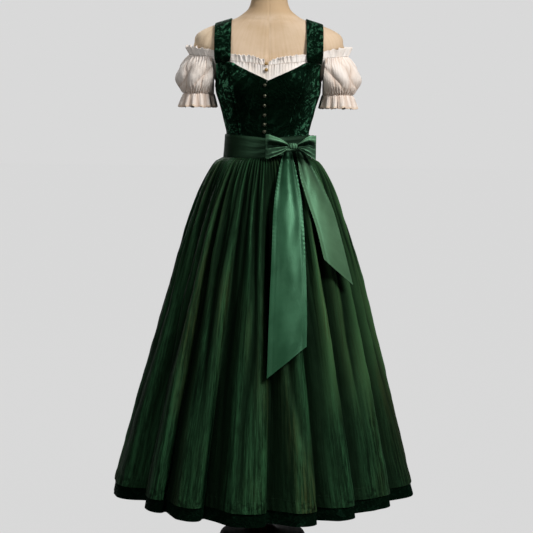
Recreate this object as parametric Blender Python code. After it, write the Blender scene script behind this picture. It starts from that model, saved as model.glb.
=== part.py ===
"""A dirndl dress on a limbless dress form.

The dress is a velvet bodice on two straps, an off-shoulder blouse with puff sleeves and
ruffles, a gathered velvet skirt, a taffeta apron over it, and a satin sash with a bow and two tails.
Every piece that is cut and sewn is a closed wall of its own. The form stands on a turned base.

Metres, +Z up, front towards -Y, +X to the right as seen from the front. The origin lies at the centre
of the base's underside. A polar angle runs round the figure: 0 at the front, 90 at +X, 180 at the back.
"""

import math
from typing import NamedTuple

import bmesh
import bpy
import numpy as np

# ---------------------------------------------------------------- cloth

VELVET_WALL = 0.002
BLOUSE_WALL = 0.0015
SATIN_WALL = 0.0015
RUFFLE_WALL = 0.0012
SKIRT_WALL = 0.0022
APRON_WALL = 0.0018
SEAM_GAP = 0.0003
SHARP_EDGE = 50.0
LEAST_ALIGNMENT = 0.55

# How far each layer stands off the form, at its outer face
BLOUSE_LAYER = 0.0045
BODICE_LAYER = 0.010
SASH_LAYER = 0.0133

# ---------------------------------------------------------------- the general figure


class FigureSection(NamedTuple):
    """One level of the form: square is the power of the rounded outline, 2 for an ellipse."""

    z: float
    half_width: float
    front: float
    back: float
    square: float


FIGURE = (
    FigureSection(z=0.930, half_width=0.150, front=0.098, back=0.106, square=2.0),
    FigureSection(z=0.990, half_width=0.155, front=0.102, back=0.112, square=2.0),
    FigureSection(z=1.050, half_width=0.132, front=0.094, back=0.100, square=2.0),
    FigureSection(z=1.103, half_width=0.1080, front=0.086, back=0.090, square=2.0),
    FigureSection(z=1.135, half_width=0.1050, front=0.085, back=0.084, square=2.0),
    FigureSection(z=1.168, half_width=0.1035, front=0.084, back=0.081, square=2.0),
    FigureSection(z=1.195, half_width=0.1090, front=0.087, back=0.082, square=2.1),
    FigureSection(z=1.217, half_width=0.1145, front=0.091, back=0.084, square=2.1),
    FigureSection(z=1.239, half_width=0.1200, front=0.096, back=0.086, square=2.2),
    FigureSection(z=1.260, half_width=0.1267, front=0.102, back=0.088, square=2.2),
    FigureSection(z=1.282, half_width=0.1335, front=0.107, back=0.090, square=2.3),
    FigureSection(z=1.304, half_width=0.1350, front=0.108, back=0.090, square=2.4),
    FigureSection(z=1.340, half_width=0.1380, front=0.106, back=0.089, square=2.9),
    FigureSection(z=1.363, half_width=0.1500, front=0.102, back=0.088, square=3.2),
    FigureSection(z=1.380, half_width=0.1680, front=0.096, back=0.088, square=3.3),
    FigureSection(z=1.400, half_width=0.1900, front=0.090, back=0.088, square=3.0),
    FigureSection(z=1.423, half_width=0.2016, front=0.082, back=0.086, square=2.6),
    FigureSection(z=1.434, half_width=0.1975, front=0.078, back=0.084, square=2.5),
    FigureSection(z=1.450, half_width=0.1750, front=0.072, back=0.080, square=2.4),
    FigureSection(z=1.463, half_width=0.1420, front=0.067, back=0.076, square=2.3),
    FigureSection(z=1.477, half_width=0.0980, front=0.061, back=0.070, square=2.2),
    FigureSection(z=1.488, half_width=0.0775, front=0.057, back=0.065, square=2.1),
    FigureSection(z=1.508, half_width=0.0560, front=0.051, back=0.058, square=2.0),
    FigureSection(z=1.531, half_width=0.0490, front=0.047, back=0.053, square=2.0),
    FigureSection(z=1.556, half_width=0.0470, front=0.045, back=0.051, square=2.0),
)
BUST_ANGLE = 37.0
BUST_SPREAD = 17.0
BUST_HEIGHT = 1.295
BUST_LENGTH = 0.042
BUST_RISE = 0.012
FORM_COLUMNS = 30
FORM_ROWS = 21


class CapRing(NamedTuple):
    """A ring that rounds off the top of the neck."""

    inset: float
    rise: float


NECK_CAP = (
    CapRing(inset=0.80, rise=0.006),
    CapRing(inset=0.45, rise=0.010),
)

# ---------------------------------------------------------------- stand

POLE_RADIUS = 0.016
POLE_COLUMNS = 16
BASE_COLUMNS = 24


class TurnedSection(NamedTuple):
    """One corner of the base's turned outline."""

    z: float
    radius: float


BASE_OUTLINE = (
    TurnedSection(z=0.000, radius=0.160),
    TurnedSection(z=0.003, radius=0.163),
    TurnedSection(z=0.018, radius=0.163),
    TurnedSection(z=0.023, radius=0.158),
    TurnedSection(z=0.030, radius=0.128),
    TurnedSection(z=0.040, radius=0.122),
    TurnedSection(z=0.054, radius=0.118),
    TurnedSection(z=0.061, radius=0.111),
    TurnedSection(z=0.066, radius=0.050),
    TurnedSection(z=0.078, radius=0.026),
)

# ---------------------------------------------------------------- bodice


class EdgePoint(NamedTuple):
    """Height of an edge at a polar angle, the same on both sides."""

    angle: float
    z: float


BODICE_BOTTOM = 1.1045
BODICE_ROWS = 8
BODICE_TOP = (
    EdgePoint(angle=0.0, z=1.3105),
    EdgePoint(angle=23.0, z=1.3340),
    EdgePoint(angle=35.0, z=1.3480),
    EdgePoint(angle=46.0, z=1.3620),
    EdgePoint(angle=64.0, z=1.3540),
    EdgePoint(angle=75.0, z=1.3180),
    EdgePoint(angle=90.0, z=1.2980),
    EdgePoint(angle=104.0, z=1.3080),
    EdgePoint(angle=121.0, z=1.3450),
    EdgePoint(angle=138.0, z=1.3500),
    EdgePoint(angle=180.0, z=1.3420),
)


class SeamPoint(NamedTuple):
    """Polar angles of the two princess seams at one height."""

    z: float
    left: float
    right: float


PRINCESS_SEAMS = (
    SeamPoint(z=1.104, left=-48.0, right=35.0),
    SeamPoint(z=1.178, left=-48.0, right=36.0),
    SeamPoint(z=1.280, left=-45.0, right=40.0),
    SeamPoint(z=1.365, left=-46.0, right=46.0),
)
CLOSURE_ANGLE = -1.5
SIDE_SEAM = 90.0


class StrapEnd(NamedTuple):
    """Polar angles between which a strap meets the bodice."""

    inner: float
    outer: float


STRAP_FRONT = StrapEnd(inner=46.0, outer=64.0)
STRAP_BACK = StrapEnd(inner=138.0, outer=121.0)
STRAP_INNER_X = 0.101
STRAP_OUTER_X = 0.1465
STRAP_BACK_DRAWN_IN = 0.012
STRAP_ROWS = 15
STRAP_COLUMNS = 4
STRAP_PIVOT_Z = 1.368
STRAP_LIFT = 0.003
STRAP_OVER_RUFFLE = 0.0042
STRAP_SWELL_START = 0.004
STRAP_SWELL_LENGTH = 0.018
STRAP_SWELL_END = (1.395, 1.425)
STRAP_LIFT_SPAN = (1.38, 1.45)
STRAP_FOOT_SHARE = 0.08
STRAP_BACK_SPAN = (0.55, 0.95)
STRAP_FAR = 0.2
HALVINGS = 30

# ---------------------------------------------------------------- buttons

BUTTON_RADIUS = 0.0048
BUTTON_HEIGHT = 0.0036
BUTTON_COLUMNS = 8
BUTTON_CLEARANCE = 0.0007
BODICE_BUTTON_X = -0.009
BODICE_BUTTON_HEIGHTS = (1.2977, 1.2694, 1.2439, 1.2185, 1.1935, 1.1745)
BLOUSE_BUTTON_X = -0.0060
BLOUSE_BUTTON_HEIGHTS = (1.3380, 1.3540)
PLACKET_STAND_OFF = 0.0018
SLOPE_REACH = 0.004
SETTLING_STEPS = 12


class ButtonRing(NamedTuple):
    """One ring of a button's dome, as shares of its radius and height."""

    radius: float
    height: float


BUTTON_RINGS = (
    ButtonRing(radius=0.85, height=0.00),
    ButtonRing(radius=1.00, height=0.22),
    ButtonRing(radius=0.88, height=0.62),
    ButtonRing(radius=0.50, height=0.94),
)

# ---------------------------------------------------------------- blouse

NECKLINE_HALF_WIDTH = 0.2165
NECKLINE_FRONT = 0.1155
NECKLINE_BACK = 0.0965
NECKLINE_SQUARE_FRONT = 1.75
NECKLINE_SQUARE_BACK = 2.0
NECKLINE_SEAM = 0.0008
PLACKET_ANGLE = -2.5
PLACKET_HALF_GAP = 2.8
BLOUSE_BOTTOM = 1.240
BLOUSE_ROWS_IN_BODICE = 4
BLOUSE_ROWS_ABOVE = 2
ARMHOLE_FRONT = 64.0
ARMHOLE_BACK = 112.0
ARMHOLE_CURVE = 0.75
UNDERARM_Z = 1.312
BLOUSE_LEAVES_BODICE = 0.0005
BLOUSE_LEAST_RISE = 0.004


class RufflePoint(NamedTuple):
    """Neckline strip at a polar angle: its foot, its height, its lean and its waves."""

    angle: float
    z: float
    height: float
    lean: float
    wave: float


NECKLINE = (
    RufflePoint(angle=0.0, z=1.3510, height=0.006, lean=0.000, wave=0.0010),
    RufflePoint(angle=5.0, z=1.3520, height=0.013, lean=0.001, wave=0.0030),
    RufflePoint(angle=23.0, z=1.3570, height=0.018, lean=0.002, wave=0.0034),
    RufflePoint(angle=40.0, z=1.3610, height=0.018, lean=0.001, wave=0.0018),
    RufflePoint(angle=50.0, z=1.3650, height=0.017, lean=0.001, wave=0.0006),
    RufflePoint(angle=62.0, z=1.3720, height=0.018, lean=0.001, wave=0.0006),
    RufflePoint(angle=70.0, z=1.3755, height=0.021, lean=0.005, wave=0.0026),
    RufflePoint(angle=90.0, z=1.3810, height=0.023, lean=0.009, wave=0.0042),
    RufflePoint(angle=110.0, z=1.3780, height=0.021, lean=0.006, wave=0.0026),
    RufflePoint(angle=118.0, z=1.3760, height=0.016, lean=0.002, wave=0.0006),
    RufflePoint(angle=135.0, z=1.3730, height=0.016, lean=0.002, wave=0.0006),
    RufflePoint(angle=150.0, z=1.3710, height=0.018, lean=0.002, wave=0.0030),
    RufflePoint(angle=180.0, z=1.3690, height=0.018, lean=0.002, wave=0.0030),
)
NECKLINE_WAVES = 72
NECKLINE_FOOT_WAVE = 0.25

# ---------------------------------------------------------------- sleeves

SLEEVE_FOOT_X = 0.189
SLEEVE_FOOT_HALF_WIDTH = 0.041
SLEEVE_FOOT_HALF_DEPTH = 0.050
SLEEVE_FOOT_Z = 1.2755
SLEEVE_INNER_LIMIT = 0.1485
SLEEVE_OUTER_COLUMNS = 18
SLEEVE_INNER_COLUMNS = 10
SLEEVE_FRONT_TURN = -135.0
SLEEVE_BACK_TURN = 120.0
SLEEVE_GATHER = 0.0011


class PuffPoint(NamedTuple):
    """Share of the puff's bulge at a share of the way down the sleeve."""

    down: float
    bulge: float


PUFF = (
    PuffPoint(down=0.00, bulge=0.00),
    PuffPoint(down=0.12, bulge=0.42),
    PuffPoint(down=0.30, bulge=0.86),
    PuffPoint(down=0.54, bulge=1.00),
    PuffPoint(down=0.75, bulge=0.80),
    PuffPoint(down=0.90, bulge=0.40),
    PuffPoint(down=1.00, bulge=0.00),
)
PUFF_BULGE = 0.0275
PUFF_INNER_SHARE = 0.25
CUFF_WAVES = 14
CUFF_COLUMNS_PER_WAVE = 2
CUFF_WAVE = 0.0042
CUFF_FLARE = 0.0135
CUFF_HEIGHT = 0.031
CUFF_ROWS = 2
CUFF_BACK_DROP = 0.006
CUFF_TOP_WAVE = 0.15
CUFF_INNER_REACH = 0.55
CUFF_FLARE_CURVE = 0.7

# ---------------------------------------------------------------- skirt and apron

SKIRT_TOP = 1.1032
SKIRT_BACK_DROPS = (0.0, 0.008, 0.040, 0.100, 0.210, 0.400, 0.650, 0.8935, 0.927)
SKIRT_FRONT_DROPS = (0.0, 0.040, 0.100, 0.210, 0.400, 0.650, 0.8935, 0.927)
APRON_DROPS = (0.0, 0.008, 0.040, 0.100, 0.210, 0.400, 0.650, 0.8935)
HEM_DROP = 0.927
SKIRT_WAIST = 0.138
SKIRT_FLARE = 0.253
SKIRT_SWELL = 0.055
SKIRT_SWELL_DROP = 0.110
SKIRT_TUCK = 0.014
SKIRT_TUCK_DROP = 0.006
APRON_GAP = 0.0024
COLUMNS_PER_FOLD = 8
RIDGE_SHARE = 0.30
ANGLE_TOLERANCE = 0.01


class SkirtSection(NamedTuple):
    """Depth to width, and how deep gathers, half folds and folds run, below the waist."""

    drop: float
    roundness: float
    gather: float
    half_fold: float
    fold: float


SKIRT_SECTIONS = (
    SkirtSection(drop=0.000, roundness=0.86, gather=0.0050, half_fold=0.000, fold=0.00),
    SkirtSection(drop=0.030, roundness=0.87, gather=0.0055, half_fold=0.002, fold=0.02),
    SkirtSection(drop=0.070, roundness=0.89, gather=0.0045, half_fold=0.005, fold=0.06),
    SkirtSection(drop=0.130, roundness=0.91, gather=0.0030, half_fold=0.009, fold=0.12),
    SkirtSection(drop=0.220, roundness=0.93, gather=0.0016, half_fold=0.013, fold=0.22),
    SkirtSection(drop=0.350, roundness=0.945, gather=0.0006, half_fold=0.015, fold=0.38),
    SkirtSection(drop=0.520, roundness=0.96, gather=0.0, half_fold=0.013, fold=0.58),
    SkirtSection(drop=0.720, roundness=0.975, gather=0.0, half_fold=0.007, fold=0.80),
    SkirtSection(drop=0.930, roundness=0.985, gather=0.0, half_fold=0.003, fold=1.00),
)


class Fold(NamedTuple):
    """A fold at the hem, from its valley on.

    It states how deep the valley is, how far the ridge reaches, and how far the ridge leans over: 1 is upright.
    """

    valley: float
    depth: float
    reach: float
    lean: float


FOLDS = (
    Fold(valley=-97.0, depth=0.044, reach=1.000, lean=0.80),
    Fold(valley=-64.0, depth=0.050, reach=0.935, lean=1.25),
    Fold(valley=-43.0, depth=0.026, reach=0.980, lean=1.30),
    Fold(valley=-24.0, depth=0.042, reach=1.010, lean=1.35),
    Fold(valley=2.5, depth=0.042, reach=1.000, lean=1.40),
    Fold(valley=21.5, depth=0.044, reach=0.955, lean=1.40),
    Fold(valley=40.0, depth=0.034, reach=0.900, lean=1.30),
    Fold(valley=68.0, depth=0.050, reach=1.000, lean=1.10),
    Fold(valley=98.0, depth=0.046, reach=0.985, lean=1.00),
    Fold(valley=119.0, depth=0.040, reach=0.960, lean=0.90),
    Fold(valley=139.0, depth=0.048, reach=0.985, lean=1.10),
    Fold(valley=160.0, depth=0.038, reach=1.000, lean=1.00),
    Fold(valley=182.0, depth=0.046, reach=0.990, lean=1.10),
    Fold(valley=203.0, depth=0.040, reach=0.975, lean=0.90),
    Fold(valley=223.0, depth=0.048, reach=0.960, lean=1.00),
    Fold(valley=243.0, depth=0.040, reach=0.985, lean=0.90),
)
APRON_START = -130.0
APRON_END = 132.0
UNDER_APRON_EDGE = 8.0
SKIRT_SIDE_SEAM = 90.0

# ---------------------------------------------------------------- sash, bow and tails

SASH_BOTTOM = 1.1035
SASH_TOP_FRONT = 1.157
SASH_TOP_SIDE = 1.1665
SASH_COLUMN_STEP = 12.0
SASH_ROWS = 3

KNOT_CENTRE = (0.068, -0.124, 1.1370)
KNOT_HALF_SIZE = (0.0125, 0.0095, 0.0085)
KNOT_SQUARE = 2.6
KNOT_COLUMNS = 12
KNOT_LEVELS = 7
KNOT_END = 0.96


class LoopSection(NamedTuple):
    """A bow loop from its knot end outwards: both edges, and how its two layers lie."""

    x: float
    top: float
    bottom: float
    front_y: float
    back_y: float


LOOP_LEFT = (
    LoopSection(x=0.0545, top=1.1430, bottom=1.1310, front_y=-0.1260, back_y=-0.1175),
    LoopSection(x=0.0450, top=1.1500, bottom=1.1235, front_y=-0.1330, back_y=-0.1150),
    LoopSection(x=0.0310, top=1.1575, bottom=1.1155, front_y=-0.1380, back_y=-0.1135),
    LoopSection(x=0.0150, top=1.1640, bottom=1.1080, front_y=-0.1370, back_y=-0.1130),
    LoopSection(x=0.0020, top=1.1670, bottom=1.1045, front_y=-0.1310, back_y=-0.1150),
    LoopSection(x=-0.0050, top=1.1670, bottom=1.1045, front_y=-0.1225, back_y=-0.1190),
)
LOOP_RIGHT = (
    LoopSection(x=0.0815, top=1.1430, bottom=1.1310, front_y=-0.1250, back_y=-0.1165),
    LoopSection(x=0.0900, top=1.1500, bottom=1.1260, front_y=-0.1310, back_y=-0.1110),
    LoopSection(x=0.1010, top=1.1585, bottom=1.1190, front_y=-0.1320, back_y=-0.1050),
    LoopSection(x=0.1140, top=1.1645, bottom=1.1110, front_y=-0.1280, back_y=-0.0990),
    LoopSection(x=0.1240, top=1.1665, bottom=1.1060, front_y=-0.1180, back_y=-0.0960),
    LoopSection(x=0.1300, top=1.1650, bottom=1.1045, front_y=-0.1060, back_y=-0.1000),
)
LOOP_ROWS = 4
LOOP_PUCKER = 0.0028
PUCKERS = 2


class TailSection(NamedTuple):
    """A tail from its knot end down: where its left and right edges are."""

    left_x: float
    left_z: float
    right_x: float
    right_z: float


TAIL_LONG = (
    TailSection(left_x=0.0440, left_z=1.1225, right_x=0.0640, right_z=1.1225),
    TailSection(left_x=0.0340, left_z=1.0880, right_x=0.0760, right_z=1.0780),
    TailSection(left_x=0.0265, left_z=1.0450, right_x=0.0860, right_z=1.0300),
    TailSection(left_x=0.0205, left_z=1.0000, right_x=0.0930, right_z=0.9880),
    TailSection(left_x=0.0166, left_z=0.9390, right_x=0.0985, right_z=0.9250),
    TailSection(left_x=0.0150, left_z=0.8680, right_x=0.1030, right_z=0.8500),
    TailSection(left_x=0.0115, left_z=0.7610, right_x=0.1070, right_z=0.7600),
    TailSection(left_x=0.0086, left_z=0.6530, right_x=0.1085, right_z=0.6900),
    TailSection(left_x=0.0060, left_z=0.5450, right_x=0.1080, right_z=0.6238),
)
TAIL_SHORT = (
    TailSection(left_x=0.0750, left_z=1.1225, right_x=0.0960, right_z=1.1225),
    TailSection(left_x=0.0830, left_z=1.0900, right_x=0.1180, right_z=1.0880),
    TailSection(left_x=0.0880, left_z=1.0570, right_x=0.1380, right_z=1.0530),
    TailSection(left_x=0.0970, left_z=1.0257, right_x=0.1580, right_z=1.0140),
    TailSection(left_x=0.1110, left_z=0.9830, right_x=0.1770, right_z=0.9720),
    TailSection(left_x=0.1300, left_z=0.9300, right_x=0.1990, right_z=0.8990),
    TailSection(left_x=0.1530, left_z=0.8425, right_x=0.2330, right_z=0.7706),
)
TAIL_ROWS = 12
TAIL_COLUMNS = 4
TAIL_STAND_OFF = 0.0065
TAIL_TOP_Y = -0.1235
TAIL_CREASE = 0.0045
TAIL_OVER_RIDGES = 1.01
TAIL_RISE_BELOW = 0.030
TAIL_RISE_ABOVE = 0.020
MOST_SINE = 0.999


# ---------------------------------------------------------------- curves and grids


class Curve:
    """Smooth curve through rising places and their values, which never swings past them."""

    def __init__(self, places, values):
        self.places = np.array(places, float)
        self.values = np.array(values, float)
        steps = np.diff(self.places)
        slopes = np.diff(self.values) / steps
        self.tangents = np.zeros(len(self.places))
        self.tangents[0] = slopes[0]
        self.tangents[-1] = slopes[-1]
        for row in range(1, len(slopes)):
            if slopes[row - 1] * slopes[row] > 0:
                self.tangents[row] = 2 / (1 / slopes[row - 1] + 1 / slopes[row])

    def __call__(self, place):
        place = min(max(place, self.places[0]), self.places[-1])
        row = min(int(np.searchsorted(self.places, place, side="right")) - 1, len(self.places) - 2)
        step = self.places[row + 1] - self.places[row]
        t = (place - self.places[row]) / step
        start = self.values[row] * (1 + 2 * t) + self.tangents[row] * step * t
        end = self.values[row + 1] * (3 - 2 * t) + self.tangents[row + 1] * step * (t - 1)
        return start * (1 - t) ** 2 + end * t ** 2


def columns_of(table, key):
    """One smooth curve for each column of a table, over its key column."""
    places = [getattr(row, key) for row in table]
    return {
        name: Curve(places, [getattr(row, name) for row in table])
        for name in table[0]._fields
        if name != key
    }


FIGURE_AT = columns_of(FIGURE, "z")
BODICE_TOP_AT = columns_of(BODICE_TOP, "angle")["z"]
SEAMS_AT = columns_of(PRINCESS_SEAMS, "z")
NECKLINE_AT = columns_of(NECKLINE, "angle")
PUFF_AT = columns_of(PUFF, "down")["bulge"]
SKIRT_AT = columns_of(SKIRT_SECTIONS, "drop")


def both_sides(angle):
    """Angle from the front, 0 to 180, whichever side it is on."""
    wrapped = (angle + 180.0) % 360.0 - 180.0
    return abs(wrapped)


def polar_point(angle, radius, z):
    turn = math.radians(angle)
    return np.array((radius * math.sin(turn), -radius * math.cos(turn), z))


def rounded_radius(angle, half_width, front, back, square):
    """Polar radius of a rounded outline at an angle."""
    turn = math.radians(angle)
    depth = front if math.cos(turn) > 0 else back
    across = abs(math.sin(turn)) / half_width
    along = abs(math.cos(turn)) / depth
    return (across ** square + along ** square) ** (-1 / square)


def blend(low, high, place):
    """Rise from 0 at low to 1 at high with soft ends."""
    t = min(max((place - low) / (high - low), 0.0), 1.0)
    return t * t * (3 - 2 * t)


def face_normals(grid, closed):
    """Unit normals of the grid's quads, by their diagonals."""
    following = np.roll(grid, -1, axis=1) if closed else grid[:, 1:]
    current = grid if closed else grid[:, :-1]
    rising = following[1:] - current[:-1]
    falling = current[1:] - following[:-1]
    normals = np.cross(rising, falling)
    return normals / np.linalg.norm(normals, axis=2, keepdims=True)


def moved_out(grid, distance, closed):
    """The grid moved along its own normals, a little further at its corners."""
    faces = face_normals(grid, closed)
    rows, columns = grid.shape[:2]
    total = np.zeros_like(grid)
    touching = [[[] for _ in range(columns)] for _ in range(rows)]
    for row in range(rows - 1):
        for column in range(faces.shape[1]):
            for corner_row in (row, row + 1):
                for corner_column in (column, (column + 1) % columns):
                    total[corner_row, corner_column] += faces[row, column]
                    touching[corner_row][corner_column].append(faces[row, column])
    normals = total / np.linalg.norm(total, axis=2, keepdims=True)
    result = grid.copy()
    for row in range(rows):
        for column in range(columns):
            normal = normals[row, column]
            alignment = sum(float(normal @ face) for face in touching[row][column])
            alignment /= len(touching[row][column])
            result[row, column] += normal * distance / max(alignment, LEAST_ALIGNMENT)
    return result


# ---------------------------------------------------------------- solids

MATERIALS = {}


def material(name, colour, roughness, metallic=0.0):
    """The named Principled material, made once."""
    if name not in MATERIALS:
        made = bpy.data.materials.new(name)
        made.use_nodes = True
        shader = made.node_tree.nodes["Principled BSDF"]
        shader.inputs["Base Color"].default_value = (*colour, 1.0)
        shader.inputs["Roughness"].default_value = roughness
        shader.inputs["Metallic"].default_value = metallic
        MATERIALS[name] = made
    return MATERIALS[name]


def velvet():
    return material("velvet", (0.004, 0.030, 0.016), 0.7)


def taffeta():
    return material("taffeta", (0.015, 0.055, 0.025), 0.45)


def satin():
    return material("satin", (0.020, 0.095, 0.045), 0.35)


def cotton():
    return material("cotton", (0.80, 0.76, 0.70), 0.85)


def linen():
    return material("linen", (0.55, 0.42, 0.28), 0.85)


def wood():
    return material("wood", (0.050, 0.022, 0.014), 0.4)


def aged_metal():
    return material("aged_metal", (0.16, 0.15, 0.11), 0.4, 0.9)


def brass():
    return material("brass", (0.55, 0.38, 0.16), 0.35, 0.9)


def solid_from(name, points, faces, surface):
    """An object from points and faces, with its faces turned outwards."""
    mesh = bpy.data.meshes.new(name)
    mesh.from_pydata([tuple(map(float, point)) for point in points], [], faces)
    work = bmesh.new()
    work.from_mesh(mesh)
    bmesh.ops.recalc_face_normals(work, faces=work.faces)
    work.to_mesh(mesh)
    work.free()
    mesh.materials.append(surface)
    mesh.shade_smooth()
    mesh.set_sharp_from_angle(angle=math.radians(SHARP_EDGE))
    made = bpy.data.objects.new(name, mesh)
    bpy.context.scene.collection.objects.link(made)
    return made


def shell(name, outer, inner, closed, surface):
    """Closed wall between two grids of the same size: rows upward, columns round the figure.

    Each quad is split along its shorter diagonal, the same one on both faces, so the faces stay apart.
    """
    rows, columns = outer.shape[:2]
    points = list(outer.reshape(-1, 3)) + list(inner.reshape(-1, 3))
    shift = rows * columns
    spans = columns if closed else columns - 1
    faces = []

    def index(row, column, layer):
        return layer * shift + row * columns + column % columns

    for row in range(rows - 1):
        for column in range(spans):
            following = (column + 1) % columns
            rising = np.linalg.norm(outer[row + 1, following] - outer[row, column])
            falling = np.linalg.norm(outer[row + 1, column] - outer[row, following])
            corners = [(row, column), (row, column + 1), (row + 1, column + 1), (row + 1, column)]
            if falling < rising:
                corners = corners[1:] + corners[:1]
            for triangle in (corners[:3], [corners[0], corners[2], corners[3]]):
                faces.append([index(r, c, 0) for r, c in triangle])
                faces.append([index(r, c, 1) for r, c in reversed(triangle)])
    for row in (0, rows - 1):
        for column in range(spans):
            faces.append([index(row, column, 0), index(row, column + 1, 0),
                          index(row, column + 1, 1), index(row, column, 1)])
    if not closed:
        for column in (0, columns - 1):
            for row in range(rows - 1):
                faces.append([index(row, column, 0), index(row + 1, column, 0),
                              index(row + 1, column, 1), index(row, column, 1)])
    return solid_from(name, points, faces, surface)


def loft(name, rings, surface):
    """Solid through closed rings from the bottom up, flat at both ends."""
    columns = len(rings[0])
    points = [point for ring in rings for point in ring]
    faces = []
    for row in range(len(rings) - 1):
        for column in range(columns):
            following = (column + 1) % columns
            faces.append([row * columns + column, row * columns + following,
                          (row + 1) * columns + following, (row + 1) * columns + column])
    faces.append(list(range(columns))[::-1])
    faces.append([(len(rings) - 1) * columns + column for column in range(columns)])
    return solid_from(name, points, faces, surface)


def mirrored(grid):
    """The grid on the other side of the figure, its columns still running the same way round."""
    return grid[:, ::-1] * np.array((-1.0, 1.0, 1.0))


# ---------------------------------------------------------------- form and stand


def figure_radius(angle, z):
    """Polar radius of the form's skin."""
    section = [FIGURE_AT[name](z) for name in ("half_width", "front", "back", "square")]
    radius = rounded_radius(angle, *section)
    if both_sides(angle) < 90.0:
        across = math.exp(-((both_sides(angle) - BUST_ANGLE) / BUST_SPREAD) ** 2)
        radius += BUST_RISE * across * math.exp(-((z - BUST_HEIGHT) / BUST_LENGTH) ** 2)
    return radius


def on_figure(angle, z, layer):
    """Point on a layer that lies on the form."""
    return polar_point(angle, figure_radius(angle, z) + layer, z)


def make_form():
    """Torso with shoulders and neck, in one smooth piece."""
    angles = np.arange(FORM_COLUMNS) * 360.0 / FORM_COLUMNS
    share = np.linspace(0.0, 1.0, FORM_ROWS)
    heights = np.interp(share * (len(FIGURE) - 1), range(len(FIGURE)), [row.z for row in FIGURE])
    rings = [[on_figure(angle, z, 0.0) for angle in angles] for z in heights]
    top = rings[-1]
    for cap in NECK_CAP:
        rings.append([point * (cap.inset, cap.inset, 1.0) + (0, 0, cap.rise) for point in top])
    loft("form_body", rings, linen())


def make_stand():
    """Turned base on the floor, and the pole that carries the form."""
    def ring(radius, z, count):
        return [polar_point(column * 360.0 / count, radius, z) for column in range(count)]

    loft("stand_base", [ring(row.radius, row.z, BASE_COLUMNS) for row in BASE_OUTLINE], wood())
    bottom = BASE_OUTLINE[-1].z + SEAM_GAP
    top = FIGURE[0].z - SEAM_GAP
    loft("stand_pole", [ring(POLE_RADIUS, z, POLE_COLUMNS) for z in (bottom, top)], wood())


# ---------------------------------------------------------------- bodice


def panel_column(share, left_seam, right_seam, bottom, top_at, rows, gap):
    """Angles and heights up one column of a panel between two seams."""
    def angle_at(z):
        inset = math.degrees(gap / 2 / figure_radius(left_seam(z), z))
        left = left_seam(z) + inset
        right = right_seam(z) - inset
        return left + (right - left) * share

    top = bottom
    for _ in range(SETTLING_STEPS):
        top = top_at(both_sides(angle_at(top)))
    heights = np.linspace(bottom, top, rows)
    return [(angle_at(z), z) for z in heights]


def make_bodice_panel(name, left_seam, right_seam, spans):
    """Velvet panel between two seams, from the waist up to the neckline."""
    shares = np.linspace(0.0, 1.0, spans + 1)
    places = [
        panel_column(share, left_seam, right_seam, BODICE_BOTTOM, BODICE_TOP_AT, BODICE_ROWS, SEAM_GAP)
        for share in shares
    ]
    outer = np.array([[on_figure(*place[row], BODICE_LAYER) for place in places]
                      for row in range(BODICE_ROWS)])
    inner = np.array([[on_figure(*place[row], BODICE_LAYER - VELVET_WALL) for place in places]
                      for row in range(BODICE_ROWS)])
    shell(name, outer, inner, False, velvet())


def make_bodice():
    """Two fronts that meet at the buttons, two sides and a back."""
    panels = (
        ("bodice_front_left", SEAMS_AT["left"], lambda z: CLOSURE_ANGLE, 5),
        ("bodice_front_right", lambda z: CLOSURE_ANGLE, SEAMS_AT["right"], 5),
        ("bodice_side_left", lambda z: -SIDE_SEAM, SEAMS_AT["left"], 5),
        ("bodice_side_right", SEAMS_AT["right"], lambda z: SIDE_SEAM, 5),
        ("bodice_back", lambda z: SIDE_SEAM, lambda z: 360.0 - SIDE_SEAM, 12),
    )
    for name, left_seam, right_seam, spans in panels:
        make_bodice_panel(name, left_seam, right_seam, spans)


def along_ray(x, tilt):
    """Where a ray from the shoulder's pivot leaves the straps' layer, at one distance from the middle.

    The layer swells where the straps pass over the ruffle, and lies close on top of the shoulder.
    """
    def inside(reach):
        y = -reach * math.cos(tilt)
        z = STRAP_PIVOT_Z + reach * math.sin(tilt)
        lifted = z - STRAP_LIFT * blend(*STRAP_LIFT_SPAN, z)
        angle = math.degrees(math.atan2(x, -y))
        start = BODICE_TOP_AT(both_sides(angle)) - STRAP_SWELL_START
        swell = blend(start, start + STRAP_SWELL_LENGTH, z) * (1 - blend(*STRAP_SWELL_END, z))
        return math.hypot(x, y) < figure_radius(angle, lifted) + BODICE_LAYER + STRAP_OVER_RUFFLE * swell

    near = 0.0
    far = STRAP_FAR
    for _ in range(HALVINGS):
        middle = (near + far) / 2
        if inside(middle):
            near = middle
        else:
            far = middle
    return np.array((x, -near * math.cos(tilt), STRAP_PIVOT_Z + near * math.sin(tilt)))


def strap_end_row(end, layer):
    """The strap's edge where it meets the bodice."""
    angles = np.linspace(end.inner, end.outer, STRAP_COLUMNS + 1)
    return [on_figure(angle, BODICE_TOP_AT(angle) + SEAM_GAP, layer) for angle in angles]


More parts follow.
